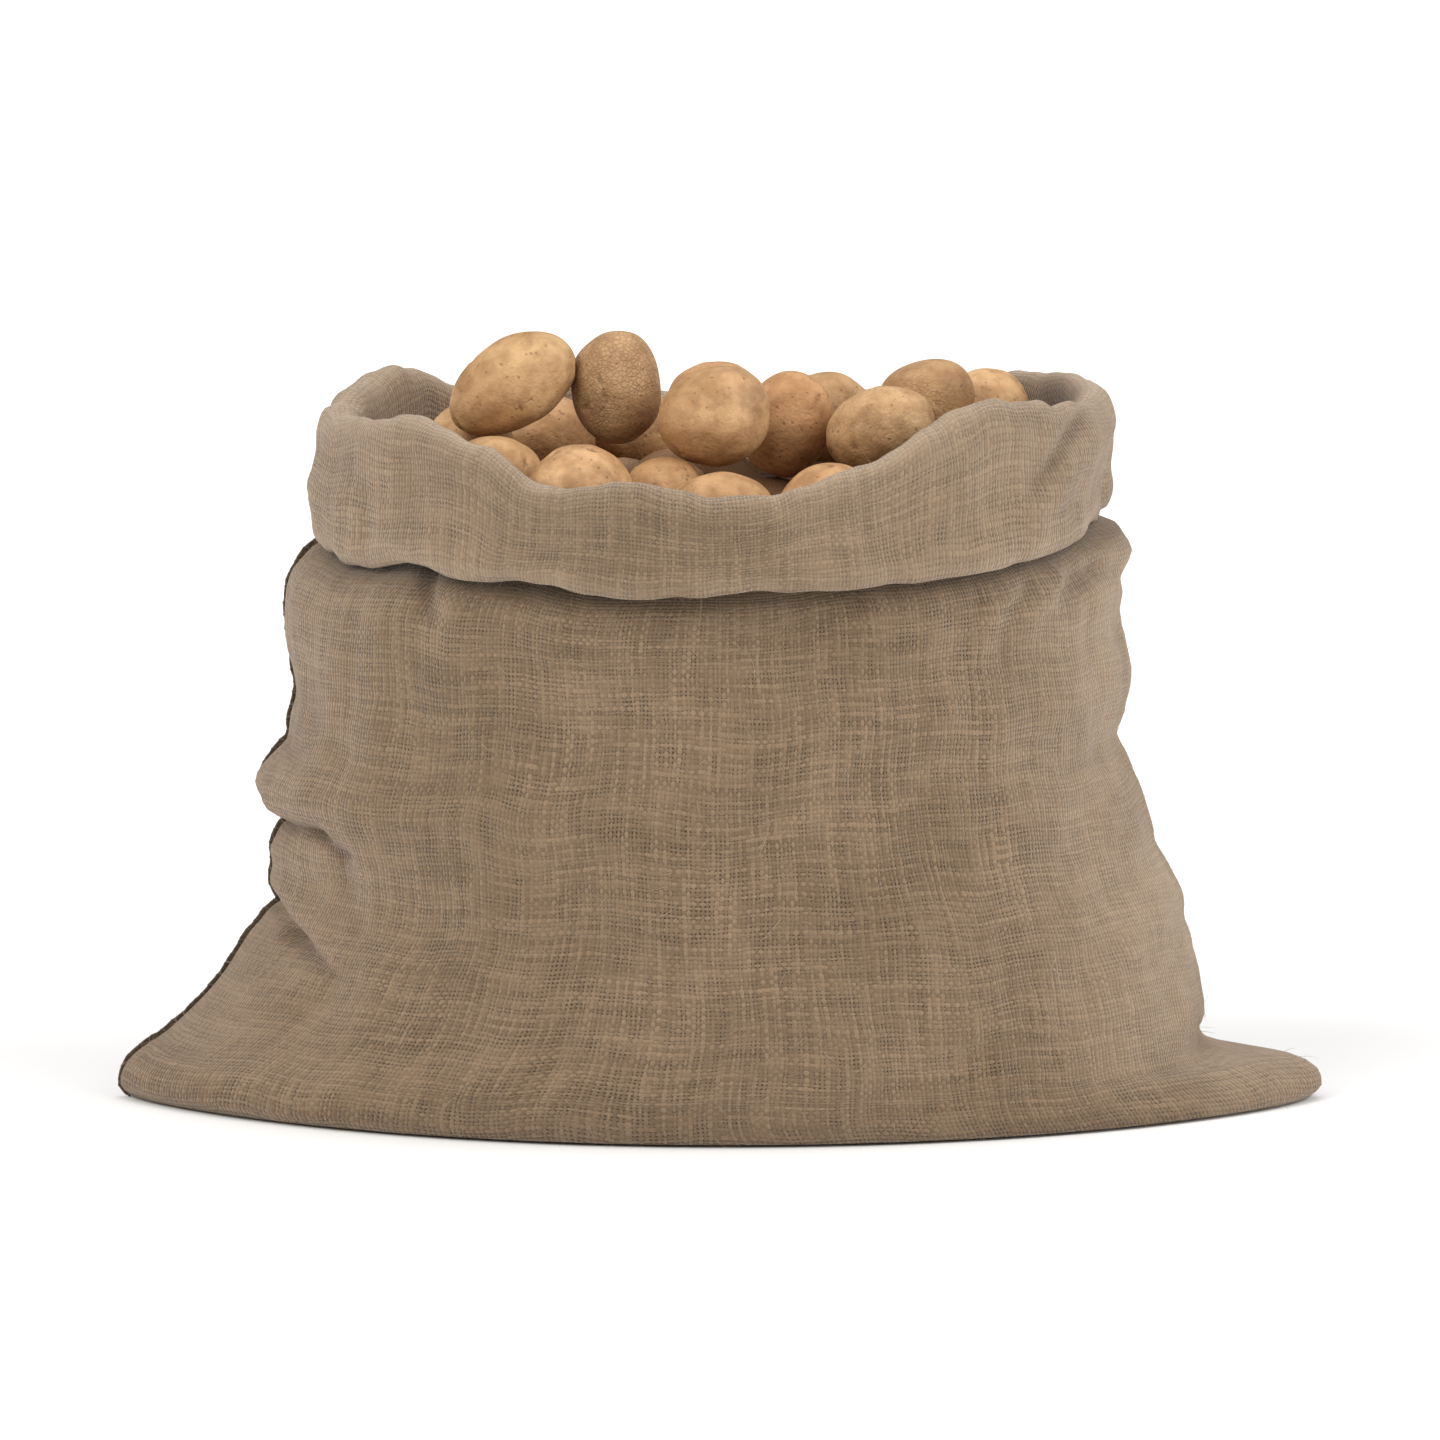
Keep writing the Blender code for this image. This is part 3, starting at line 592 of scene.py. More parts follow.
def hessian_material(name, thread, shade, gap, wear_and_painted_light_colour):
    """Plain weave of uneven jute yarns: thick and thin stretches, gaps between them and fuzz."""
    s = Shader(name)
    cloth = s.node("ShaderNodeUVMap", uv_map="cloth").outputs["UV"]
    split = s.node("ShaderNodeSeparateXYZ", {0: cloth})
    across = s.times(split.outputs[0], 1 / WARP_PITCH)
    along = s.times(split.outputs[1], 1 / WEFT_PITCH)
    warp_top, warp_tone = yarns(s, across, along, 1)
    weft_top, weft_tone = yarns(s, along, across, -1)
    height = s.math("MAXIMUM", warp_top, weft_top)

    warp_shows = s.math("GREATER_THAN", warp_top, weft_top)
    weft_shows = s.math("SUBTRACT", 1.0, warp_shows)
    tone = s.math("ADD", s.times(warp_tone, warp_shows), s.times(weft_tone, weft_shows))
    yarn_colour = s.mix(s.ramp(tone, 0.25, 0.75), shade, thread)
    fibres = s.noise(cloth, FUZZ_SCALE, 0.0, flat=True)
    yarn_colour = s.tint(yarn_colour, s.mix(fibres, grey(0.84), grey(1.16)))
    # The yarns' low parts and the gaps between them take the dark gap colour: painted shade in the
    # weave's hollows.
    colour = s.mix(s.ramp(height, 0.02, 0.55), gap, yarn_colour)

    # Broad changes of tone, paler cloth from painted light and wear, and darker cloth from painted
    # shade, with dirt near the floor.
    blotches = s.attribute("blotch")
    patch = s.mix(s.ramp(blotches, 0.3, 0.7), (0.94, 0.935, 0.925, 1), (1.06, 1.06, 1.07, 1))
    colour = s.tint(colour, patch)
    # Painted light, with some wear along the rim: a paler colour mixed in.
    wear_and_painted_light = s.times(s.attribute("wear_and_painted_light"), s.ramp(blotches, 0.25, 0.6, 0.5, 1.0))
    colour = s.mix(wear_and_painted_light, colour, wear_and_painted_light_colour)
    # Painted shade, with dirt near the floor: a dark colour mixed in.
    painted_shade_and_dirt = s.times(s.attribute("painted_shade_and_dirt"), s.ramp(blotches, 0.3, 0.65, 0.55, 1.0))
    colour = s.mix(painted_shade_and_dirt, colour, (0.074, 0.050, 0.032, 1))
    return s.surfaced(
        Base_Color=colour,
        Roughness=s.ramp(height, 0.1, 0.9, 0.98, 0.86),
        Normal=s.bump(s.times_plus(fibres, 0.25, height), WEAVE_RELIEF),
        Specular_IOR_Level=0.0,
        Sheen_Weight=0.45,
        Sheen_Roughness=0.45,
        Sheen_Tint=(0.92, 0.84, 0.76, 1),
    )


def twine_material(name, dark, light):
    """Twisted jute: sewing twine or loose fibres."""
    s = Shader(name)
    grain = s.noise(s.place(), 420.0, 3.0, 0.6)
    tone = s.noise(s.place(), 45.0, 2.0)
    tone = s.times_plus(tone, 0.6, s.times(grain, 0.4))
    return s.surfaced(
        Base_Color=s.mix(s.ramp(tone, 0.3, 0.7), dark, light),
        Roughness=s.ramp(grain, 0.2, 0.8, 0.95, 0.80),
        Normal=s.bump(grain, 0.0004),
        Sheen_Weight=0.2,
    )


def potato_material(name):
    """Thin golden skin with darker patches, small pores, dark eyes and dry soil; on the lower potatoes
    the eyes' dark colour is also painted shade deep in the heap.
    """
    s = Shader(name)
    place = s.place()
    russet_share = s.attribute("tone")
    broad = s.noise(place, 24.0, 2.0, 0.55)
    middle = s.noise(place, 90.0, 2.0, 0.6)
    fine = s.noise(place, 700.0, 1.0, 0.6)
    light = s.ramp(broad, 0.30, 0.70)
    golden = s.mix(light, (0.420, 0.238, 0.104, 1), (0.600, 0.382, 0.190, 1))
    russet = s.mix(light, (0.285, 0.168, 0.086, 1), (0.430, 0.265, 0.140, 1))
    colour = s.mix(russet_share, golden, russet)
    colour = s.tint(colour, (1.10, 0.92, 0.84, 1), s.attribute("blush"))
    mottled = s.mix(s.ramp(middle, 0.35, 0.72), grey(1.10), (0.68, 0.61, 0.54, 1))
    colour = s.tint(colour, mottled, 0.75)

    pore = s.ramp(s.cells(place, 260.0), 0.10, 0.26, 1.0, 0.0)
    pore = s.times(pore, s.ramp(s.noise(place, 150.0, 1.0), 0.46, 0.58))
    colour = s.mix(s.times(pore, 0.55), colour, (0.200, 0.098, 0.040, 1))
    soil = s.ramp(s.noise(place, 38.0, 3.0, 0.68), 0.53, 0.68)
    colour = s.mix(s.times(soil, 0.50), colour, (0.250, 0.135, 0.062, 1))
    # Dark eyes on the top potatoes; on the lower ones the same colour is painted shade, deeper down.
    eyes_and_painted_shade = s.ramp(s.attribute("eyes_and_painted_shade"), 0.25, 0.95, 0.0, 0.72)
    colour = s.mix(eyes_and_painted_shade, colour, (0.165, 0.082, 0.036, 1))
    colour = s.tint(colour, s.mix(fine, grey(0.90), grey(1.10)))

    # Dry russet skin cracks into a fine net.
    crack = s.ramp(s.cells(place, 430.0, "DISTANCE_TO_EDGE"), 0.0, 0.20, 1.0, 0.0)
    crack = s.times(crack, s.times(s.ramp(russet_share, 0.10, 0.60), s.ramp(broad, 0.35, 0.60)))
    colour = s.mix(s.times(crack, 0.38), colour, (0.190, 0.100, 0.050, 1))

    relief = s.times_plus(middle, 1.2, s.times(fine, 0.30))
    relief = s.times_plus(crack, -0.22, relief)
    relief = s.times_plus(pore, -0.25, relief)
    return s.surfaced(
        Base_Color=colour,
        Roughness=s.ramp(middle, 0.3, 0.7, 0.50, 0.70),
        Normal=s.bump(relief, 0.0016, 0.8),
        Specular_IOR_Level=0.30,
    )


def floor_material():
    """Plain, pale and without gloss."""
    s = Shader("pale_floor")
    colour = s.mix(s.noise(s.place(), 3.0, 0.0, flat=True), grey(0.91), grey(0.93))
    return s.surfaced(Base_Color=colour, Roughness=0.9, Specular_IOR_Level=0.0)


# ------------------------ the cloth's plain shape


def column_angles():
    """The columns' angles from the seam round the back to the front, closer together at the front."""
    fine = np.linspace(0, 360, ANGLE_SAMPLES)
    front = 0.5 + 0.5 * np.tanh(np.sin(np.radians(SEAM_ANGLE + fine)) * DENSITY_TURN)
    density = 1 + FRONT_DENSITY * front
    share = running_total((density[1:] + density[:-1]) / 2)
    return SEAM_ANGLE + np.interp(np.arange(COLUMNS) / COLUMNS, share / share[-1], fine)


ANGLES = column_angles()
ACROSS = np.cos(np.radians(ANGLES))
FORWARD = np.sin(np.radians(ANGLES))
UP = np.array([0.0, 0.0, 1.0])


def round_the_cuff(name):
    """One of the cuff's sizes at each column, on a smooth closed curve through its table."""
    knots = np.array([row.angle for row in CUFF], float)
    values = np.array([getattr(row, name) for row in CUFF])
    before = np.append(knots[-1] - 360, knots[:-1])
    after = np.append(knots[1:], knots[0] + 360)
    slopes = (np.roll(values, -1) - np.roll(values, 1)) / (after - before)
    wanted = np.mod(ANGLES, 360)
    k = np.searchsorted(knots, wanted, side="right") - 1
    n = (k + 1) % len(knots)
    span = (after - knots)[k]
    return hermite((wanted - knots[k]) / span, values[k], values[n], slopes[k] * span, slopes[n] * span)


def ring(section, height):
    """A ring of points round the sack at these heights, and the ways out of it."""
    half_x = np.where(ACROSS > 0, section.right, section.left)
    half_y = np.where(FORWARD > 0, section.front, section.back)
    pinch = np.where(ACROSS > 0, section.right_pinch, section.left_pinch)
    depth = np.sign(FORWARD) * np.abs(FORWARD) ** pinch
    heights = np.zeros(COLUMNS) + height
    ear_heights = [ear.height for ear in RIGHT_EAR]
    reach = np.interp(heights, ear_heights, [ear.reach for ear in RIGHT_EAR])
    half_depth = np.interp(heights, ear_heights, [ear.half_depth for ear in RIGHT_EAR])
    ear = reach * np.exp(-np.abs(half_y * depth / half_depth) ** EAR_BEND) * (ACROSS > 0)
    points = np.stack([half_x * ACROSS + ear, -half_y * depth, heights], axis=1)
    out = np.stack([ACROSS / half_x, -FORWARD / half_y, np.zeros(COLUMNS)], axis=1)
    return points, unit(out)


def blended(first, second, share):
    return Section(*[a + (b - a) * share for a, b in zip(first, second)])


def fold_out(points, folds, taper=0.0):
    """How far the folds push the cloth out at these points. They fade out behind the sides."""
    total = np.zeros(points.shape[:-1])
    for fold in folds:
        along = np.array([fold.x1 - fold.x0, fold.z1 - fold.z0])
        here = points[..., [0, 2]] - np.array([fold.x0, fold.z0])
        share = np.clip(here @ along / (along @ along), 0, 1)
        distance = np.linalg.norm(here - share[..., None] * along, axis=-1)
        total += fold.out * np.exp(-((distance / fold.width) ** 2)) * (1 - taper * share)
    return total * np.clip(1 - points[..., 1] / FOLD_FADE, 0, 1)


def cloth_rows():
    """The middle of the cloth, ring by ring, as in the CAD model, and the ways out."""
    cuff = Cuff(ANGLES, *[round_the_cuff(name) for name in ("rim", "edge", "fold")])
    outline, _ = ring(BODY[0], CLOTH / 2)
    rows = [outline * [share, share, 1] for share in FLOOR_RINGS]
    for section in BODY:
        points, out = ring(section, section.height)
        rows.append(points + out * fold_out(points, MAIN_FOLDS)[:, None])
    for shoulder in SHOULDERS:
        section = blended(BODY[-1], NECK, shoulder.inward)
        points, out = ring(section, cuff.edge - shoulder.below)
        pushed = fold_out(points, MAIN_FOLDS) * (1 - shoulder.inward)
        rows.append(points + out * pushed[:, None])

    neck, out = ring(NECK, cuff.edge)
    neck = neck * [1, 1, 0]
    wall_top = cuff.rim - cuff.fold
    rows.append(neck + UP * ((cuff.edge + wall_top) / 2)[:, None])
    for turn in RIM_TURNS:
        aside = cuff.fold * (1 + math.cos(math.radians(turn)))
        up = wall_top + cuff.fold * math.sin(math.radians(turn))
        rows.append(neck + out * aside[:, None] + UP * up[:, None])
    wall_end = cuff.edge + CURL
    for share in CUFF_SHARES:
        up = wall_top + (wall_end - wall_top) * share
        aside = 2 * cuff.fold + CUFF_FLARE * share
        here = neck + out * aside[:, None] + UP * up[:, None]
        rows.append(here + out * (fold_out(here, MAIN_FOLDS) * (1 - share / 2))[:, None])
    outer = rows[-1]
    for turn in CURL_TURNS:
        aside = CURL * (1 - math.cos(math.radians(turn)))
        down = CURL * math.sin(math.radians(turn))
        rows.append(outer - out * aside - UP * down)
    rows.append(rows[-1] + UP * CURL_TAIL)
    return np.array(rows), out


def refined(rows, steps):
    """More rows, on smooth curves through the given ones."""
    spans = np.linalg.norm(np.diff(rows, axis=0), axis=2)[..., None] + 1e-9
    slopes = np.diff(rows, axis=0) / spans
    inner = (slopes[:-1] * spans[1:] + slopes[1:] * spans[:-1]) / (spans[:-1] + spans[1:])
    slopes = np.concatenate([slopes[:1], inner, slopes[-1:]])
    result = []
    for k, count in enumerate(steps):
        ends = rows[k], rows[k + 1], slopes[k] * spans[k], slopes[k + 1] * spans[k]
        result += [hermite(step / count, *ends) for step in range(count)]
    return np.array(result + [rows[-1]])


# ------------------------ its bulges, creases, wear and dirt, and its painted light and shade

# The fine grid, the ways out of it, its row numbers, where its parts begin, the height of the
# cuff's edge at each column, and how free each row of the body and the cuff is to bulge.
Cloth = namedtuple("Cloth", "grid out row marks edge body_free cuff_free")


def pressed_lumps(points):
    """Soft bumps where potatoes press the cloth from inside."""
    draw = np.random.default_rng(LUMP_SEED)
    total = np.zeros(points.shape[:-1])
    for _ in range(LUMP_COUNT):
        angle = draw.uniform(0, 2 * math.pi)
        height = draw.uniform(*LUMP_HEIGHTS)
        width = LUMP_WIDTH * draw.uniform(0.7, 1.3)
        press = LUMP_PRESS * draw.uniform(0.3, 1.0)
        centre = np.array([LUMP_RING[0] * math.cos(angle), -LUMP_RING[1] * math.sin(angle), height])
        total += press * np.exp(-(np.linalg.norm(points - centre, axis=-1) / width) ** 2)
    return total


def gathers(points, edge, pleats):
    """Soft upright pleats, deepest at one height and fading below and above it."""
    draw = np.random.default_rng(GATHER_SEED)
    turn = np.arctan2(-points[..., 1] / GATHER_RING[1], points[..., 0] / GATHER_RING[0])
    total = np.zeros(points.shape[:-1])
    below = edge + pleats.rise - points[..., 2]
    for _ in range(GATHER_COUNT):
        angle = draw.uniform(-math.pi, math.pi)
        width = draw.uniform(0.016, 0.045)
        depth = GATHER_DEPTH * draw.uniform(-1.0, 0.7)
        lean = draw.uniform(-0.5, 0.5)
        long = draw.uniform(0.6, 1.5)
        off = turn - angle - lean * below
        off = np.abs((off + math.pi) % (2 * math.pi) - math.pi)
        fade = np.where(below > 0, np.exp(-below / (pleats.down * long)), np.exp(below / pleats.up))
        total += depth * np.exp(-((off / width) ** 2)) * fade
    return total * pleats.share


def bulges(cloth):
    """How far the cloth is pushed out of its plain shape at each point."""
    grid, marks = cloth.grid, cloth.marks
    body, cuff = cloth.body_free, cloth.cuff_free
    lumps = pressed_lumps(grid)
    total = body * (lumps - lumps[marks.body : marks.neck].mean())
    total += body * gathers(grid, cloth.edge, NECK_PLEATS)
    total += cuff * gathers(grid, cloth.edge, CUFF_PLEATS)
    total += (body + cuff) * fold_out(grid, FINE_FOLDS, FOLD_TAPER)
    total += body * fold_out(grid, KNOB_CREASES + KNOB_SHAPE, FOLD_TAPER)
    total += cuff * fold_out(grid, CUFF_FOLDS, FOLD_TAPER)
    total += (body + cuff * SOFT_ON_CUFF) * layered(grid, SOFT_WAVES)
    behind = soft_step(*BACK_FROM, grid[..., 1])
    total += behind * (body + cuff * BACK_ON_CUFF) * layered(grid * DRAPE, BACK_WAVES)
    return total


def shaped_cloth():
    """The cloth's fine grid with all its bulges, creases and ripples."""
    rows, out = cloth_rows()
    grid = refined(rows, STEPS)
    marks = Marks(*running_total(STEPS)[np.cumsum(MARK_STEPS)])
    row = np.arange(len(grid))[:, None]
    body_free = soft_step(marks.body, marks.body + BASE_HELD, row)
    body_free = body_free * soft_step(marks.neck, marks.neck - NECK_HELD, row)
    cuff_free = soft_step(marks.rim, marks.cuff + CUFF_HELD, row)
    cloth = Cloth(grid, out, row, marks, round_the_cuff("edge"), body_free, cuff_free)

    grid = grid + out * bulges(cloth)[..., None]
    mid_cuff = marks.cuff + MID_CUFF
    rim_share = soft_step(marks.neck, marks.rim, row) * soft_step(mid_cuff, marks.crown, row)
    grid[..., 2] += rim_share * layered(grid, RIM_RIPPLES)
    grid[..., 2] += soft_step(mid_cuff, marks.hem, row) * layered(grid, HEM_RIPPLES)
    grid[..., 2] = np.maximum(grid[..., 2], CLOTH / 2)
    return cloth._replace(grid=grid)


def cloth_uvs(cloth):
    """Flat places of the faces' corners: distances round and along the cloth, with the yarns' drift."""
    closed = np.concatenate([cloth.grid, cloth.grid[:, :1]], axis=1)
    girth = closed[cloth.marks.body + GIRTH_ROW]
    around = running_total(np.linalg.norm(np.diff(girth, axis=0), axis=1))
    around = around / around[-1] * FLAT_ROUND
    along = running_total(np.linalg.norm(np.diff(cloth.grid, axis=0), axis=2).mean(axis=1))
    drift = layered(closed, YARNS_ASIDE), layered(closed, YARNS_ALONG)
    flat = np.stack([around + drift[0], along[:, None] + drift[1]], axis=-1)
    corners = [
        np.stack([place[:-1, :-1], place[:-1, 1:], place[1:, 1:], place[1:, :-1]], axis=2)
        for place in (flat, closed[..., :2])
    ]
    base = cloth.marks.body
    return np.concatenate([corners[1][:base], corners[0][base:]]).reshape(-1, 2)


def wear_and_painted_light_share(cloth):
    """How much paler the cloth is painted at each point: painted light on the sides, cuff and right
    ear, a painted highlight with some wear at the rim, and paler cloth at the hem.
    """
    x, z, row, marks = cloth.grid[..., 0], cloth.grid[..., 2], cloth.row, cloth.marks
    # Painted highlight with some wear along the rim.
    rim = np.exp(-(((row - marks.crown) / RIM_WEAR_AND_HIGHLIGHT_ROWS) ** 2))
    hem = np.exp(-(((row - marks.hem) / HEM_PALER_ROWS) ** 2))
    # Painted light on the sides, more on the right.
    side = np.clip((np.abs(ACROSS) - SIDE_PAINTED_LIGHT_FROM) / (1 - SIDE_PAINTED_LIGHT_FROM), 0, 1) ** SIDE_PAINTED_LIGHT_BEND
    side = side * np.where(ACROSS > 0, SIDE_PAINTED_LIGHT_RIGHT, SIDE_PAINTED_LIGHT_LEFT)
    wear_and_painted_light = RIM_WEAR_AND_HIGHLIGHT * rim + HEM_PALER * hem + side * cloth.body_free
    # Painted light on the cuff, more towards the right.
    wear_and_painted_light += (CUFF_PAINTED_LIGHT + CUFF_PAINTED_LIGHT_LEAN * ACROSS) * (row > marks.rim) * (1 - rim)
    # Painted light on the right ear, near the floor.
    wear_and_painted_light += EAR_PAINTED_LIGHT * np.exp(-z / EAR_PAINTED_LIGHT_HEIGHT) * (x > EAR_PAINTED_LIGHT_FROM)
    return np.clip(wear_and_painted_light, 0, 1)


def shade_and_dirt_share(cloth):
    """How much darker the cloth is at each point: painted shade in creases, under the cuff's edge and
    inside the mouth, and near the floor dirt with painted contact shade.
    """
    z, row, marks = cloth.grid[..., 2], cloth.row, cloth.marks
    # Dirt and painted contact shade near the floor.
    low = np.exp(-z / LOW_DIRT_AND_SHADE_HEIGHT) * (row < marks.neck)
    # Painted shade along the creases' troughs, less at the right end.
    creased = (cloth.body_free + cloth.cuff_free) * fold_out(cloth.grid, FINE_FOLDS, FOLD_TAPER)
    creased += cloth.body_free * fold_out(cloth.grid, KNOB_CREASES, FOLD_TAPER)
    creases = np.clip(-creased / CREASE_FULL, 0, 1)
    creases *= 1 - CREASE_END_LOSS * soft_step(CREASE_END_FROM, 1.0, ACROSS)
    # Painted shadow just under the cuff's edge.
    below = np.clip(cloth.edge - z, 0, 1)
    under_cuff = np.exp(-((below / UNDER_CUFF_REACH) ** 2)) * (row < marks.neck)
    # Painted shade inside the mouth, deeper on the right.
    inside = (row >= marks.neck) * soft_step(marks.crown + 1, marks.rim - 2, row)
    inside = inside * np.where(ACROSS > 0, INSIDE_SHADE_RIGHT, INSIDE_SHADE_LEFT)
    painted_shade_and_dirt = LOW_DIRT_AND_SHADE * low + inside + CREASE_PAINTED_SHADE * creases**CREASE_BEND
    return np.clip(painted_shade_and_dirt + UNDER_CUFF_PAINTED_SHADOW * under_cuff, 0, SHADE_AND_DIRT_MOST)


def sack_cloth(cloth, material):
    """The cloth as one piece. The hole at the middle of its base is closed, and its hem stays open."""
    faces = tube_faces(len(cloth.grid), COLUMNS)[:-1]
    sack = mesh_object("hessian_sack", cloth.grid.reshape(-1, 3), faces, material)
    set_uvs(sack.data, cloth_uvs(cloth))
    set_values(sack.data, "wear_and_painted_light", wear_and_painted_light_share(cloth).ravel())
    set_values(sack.data, "blotch", 0.5 + layered(cloth.grid, BLOTCHES).ravel())
    set_values(sack.data, "painted_shade_and_dirt", shade_and_dirt_share(cloth).ravel())
    thick = sack.modifiers.new("cloth thickness", "SOLIDIFY")
    thick.thickness = CLOTH
    thick.offset = 0.0
    bake_modifiers(sack)
    sack.data.shade_smooth()
    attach(sack, "root")
    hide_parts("sack")
    return sack


# ------------------------ potatoes


def smooth_copy(node, material):
    """The CAD potato's own shape, made smooth and set back into its box. Gives its points too."""
    item = linked(node.name + "_skin", node.data.copy())
    item.data.materials.clear()
    item.data.materials.append(material)
    shape = bmesh.new()
    shape.from_mesh(item.data)
    bmesh.ops.remove_doubles(shape, verts=shape.verts, dist=WELD)
    angles = {"angle_face_threshold": ANY_ANGLE, "angle_shape_threshold": ANY_ANGLE}
    bmesh.ops.join_triangles(shape, faces=shape.faces, **angles)
    shape.to_mesh(item.data)
    shape.free()
    smooth = item.modifiers.new("smooth", "SUBSURF")
    smooth.levels = SMOOTH_LEVELS
    smooth.render_levels = SMOOTH_LEVELS
    bake_modifiers(item)
    low, high = (np.array(corner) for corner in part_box(node.name))
    centre = (low + high) / 2
    points = positions(item.data)
    points = centre + (points - centre) * (high - low) / np.ptp(points, axis=0)
    return item, points, low, high


def potato_eyes(ways, draw):
    """Dents and darkness of the eyes at points that lie along these ways from the potato's middle."""
    dents = np.zeros(len(ways))
    dark = np.zeros(len(ways))
    for _ in range(EYES):
        way = unit(draw.normal(size=3))
        side = unit(np.cross(way, draw.normal(size=3)))
        brow = np.cross(way, side)
        width = EYE_WIDTH * draw.uniform(0.7, 1.25)
        facing = ways @ way > 0
        u = ways @ side / width
        v = (ways @ brow / width + EYE_BEND * u**2) / EYE_FLATNESS
        near = np.exp(-(u**2) - v**2) * facing
        lip = np.exp(-(u**2) * BROW_SHARPNESS - (v - BROW_PLACE) ** 2) * facing
        dents += (-EYE_DEPTH * near + BROW_RISE * lip) * draw.uniform(0.6, 1.2)
        dark = np.maximum(dark, near * draw.uniform(0.35, 1.0))
    return dents, dark


def dressed_potato(node, material, seed):
    """One top potato, with dents, eyes and its own tone."""
    item, points, low, high = smooth_copy(node, material)
    mesh = item.data
    from_middle = points - (low + high) / 2
    ways = unit(from_middle)
    size = np.linalg.norm(from_middle, axis=1).mean()
    draw = np.random.default_rng(POTATO_SEED + seed)
    dents, dark = potato_eyes(ways, draw)
    dents += layered(points, [(pitch, depth, first + seed) for pitch, depth, first in DENTS])
    points = np.clip(points + ways * (dents * size)[:, None], low - SKIN_SPILL, high + SKIN_SPILL)
    mesh.vertices.foreach_set("co", points.ravel())
    mesh.update()
    mesh.shade_smooth()
    set_values(mesh, "tone", RUSSET.get(node.name, draw.uniform(0.0, 0.28)))
    set_values(mesh, "blush", BLUSH.get(node.name, draw.uniform(0.0, 0.5)))
    set_values(mesh, "eyes_and_painted_shade", dark)
    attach(item, "root")
    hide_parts(node.name)


def add_lump(shape, centre, draw, detail):
    """One rounded potato among the joined ones."""
    turn = Euler([draw.uniform(0, math.pi) for _ in range(3)]).to_matrix()
    half = [h * draw.uniform(0.92, 1.06) for h in LOWER_HALF]
    made = bmesh.ops.create_icosphere(shape, subdivisions=detail, radius=1.0)
    dents = []
    for _ in range(LOWER_DENTS):
        axis = Vector([draw.gauss(0, 1) for _ in range(3)]).normalized()
        dents.append((axis, draw.uniform(-0.06, 0.06)))
    for vert in made["verts"]:
        way = vert.co.normalized()
        swell = 1 + sum(size * max(way.dot(axis), 0.0) ** 2 for axis, size in dents)
        vert.co = centre + turn @ Vector([w * h * swell for w, h in zip(way, half)])


def lower_potatoes(material):
    """The heap's body, sunk and drawn in a little, with two layers of rounder potatoes over it."""
    shape = bmesh.new()
    shape.from_mesh(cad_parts["heap"].data)
    top = max(vert.co.z for vert in shape.verts) - CORE_TOP
    for vert in shape.verts:
        if vert.co.z > top:
            vert.co.z -= CORE_SINK
        vert.co.x *= CORE_INSET
        vert.co.y *= CORE_INSET
    draw = random.Random(LOWER_SEED)
    row_step = LOWER_PITCH * math.sqrt(3) / 2
    places = range(-LOWER_COUNT, LOWER_COUNT + 1)
    for row, column, layer in [(r, c, k) for r in places for c in places for k in (0, 1)]:
        x = (column + 0.5 * (row % 2) + 0.5 * layer) * LOWER_PITCH
        y = row * row_step + layer * row_step * LAYER_SHIFT
        reach = math.hypot(x / MOUND_REACH[0], y / MOUND_REACH[1])
        if reach > LOWER_REACH:
            continue
        z = MOUND_TOP - MOUND_DROP * reach**2 - LOWER_DEPTH - layer * LAYER_DEPTH
        z += draw.uniform(-LOWER_STRAY, LOWER_STRAY)
        add_lump(shape, Vector((x, y, z)), draw, 3 - layer)
    mesh = bpy.data.meshes.new("lower_potatoes")
    shape.to_mesh(mesh)
    shape.free()
    mesh.materials.append(material)
    mesh.shade_smooth()
    # Their high russet share is painted shade deep in the heap.
    set_values(mesh, "tone", LOWER_TONE)
    set_values(mesh, "blush", LOWER_BLUSH)
    # Deeper points are painted darker: painted shade in the gaps of the heap.
    set_values(mesh, "eyes_and_painted_shade", soft_step(*LOWER_SHADE_HEIGHTS, positions(mesh)[:, 2]))
    item = linked("lower_potatoes", mesh)
    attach(item, "root")
    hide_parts("heap")


# ------------------------ seam and loose fibres


def seam_path(cloth):
    """Evenly spaced points up the side seam, with the ways out of it and across it at each."""
    line = cloth.grid[cloth.marks.body : cloth.marks.neck - SEAM_BELOW_NECK, SEAM_BACK]
    along = running_total(np.linalg.norm(np.diff(line, axis=0), axis=1))
    path = in_between(line, along, np.arange(0, along[-1], SEAM_STEP))
    tangents = unit(np.gradient(path, axis=0))
    out = cloth.out[SEAM_BACK]
    away = unit(out - tangents * (tangents @ out)[:, None])
    return path, away, unit(np.cross(tangents, away))


def sewn_edges(middle, away, across, material):
    """The two edges sewn together, which stand out along the side."""
    count = len(middle)
    thick = SEAM_THICK / 2 * (1 + SEAM_UNEVEN * np.sin(np.arange(count) * SEAM_UNEVEN_TURN))
    ways = ring_ways(away * (SEAM_OUT * SEAM_HALF), across * thick[:, None], SEAM_SIDES)
    rings = middle[:, None] + ways
    rings[..., 2] = np.maximum(rings[..., 2], LOWEST_EDGE)
    edge = mesh_object("side_seam", rings.reshape(-1, 3), tube_faces(count, SEAM_SIDES), material)
    corners = np.array([v for polygon in edge.data.polygons for v in polygon.vertices])
    flat = corners % SEAM_SIDES * SEAM_YARN, corners // SEAM_SIDES * SEAM_STEP
    set_uvs(edge.data, np.stack(flat, axis=1))
    set_values(edge.data, "wear_and_painted_light", 0.0)
    set_values(edge.data, "painted_shade_and_dirt", 0.0)
    set_values(edge.data, "blotch", 0.5)
    return edge


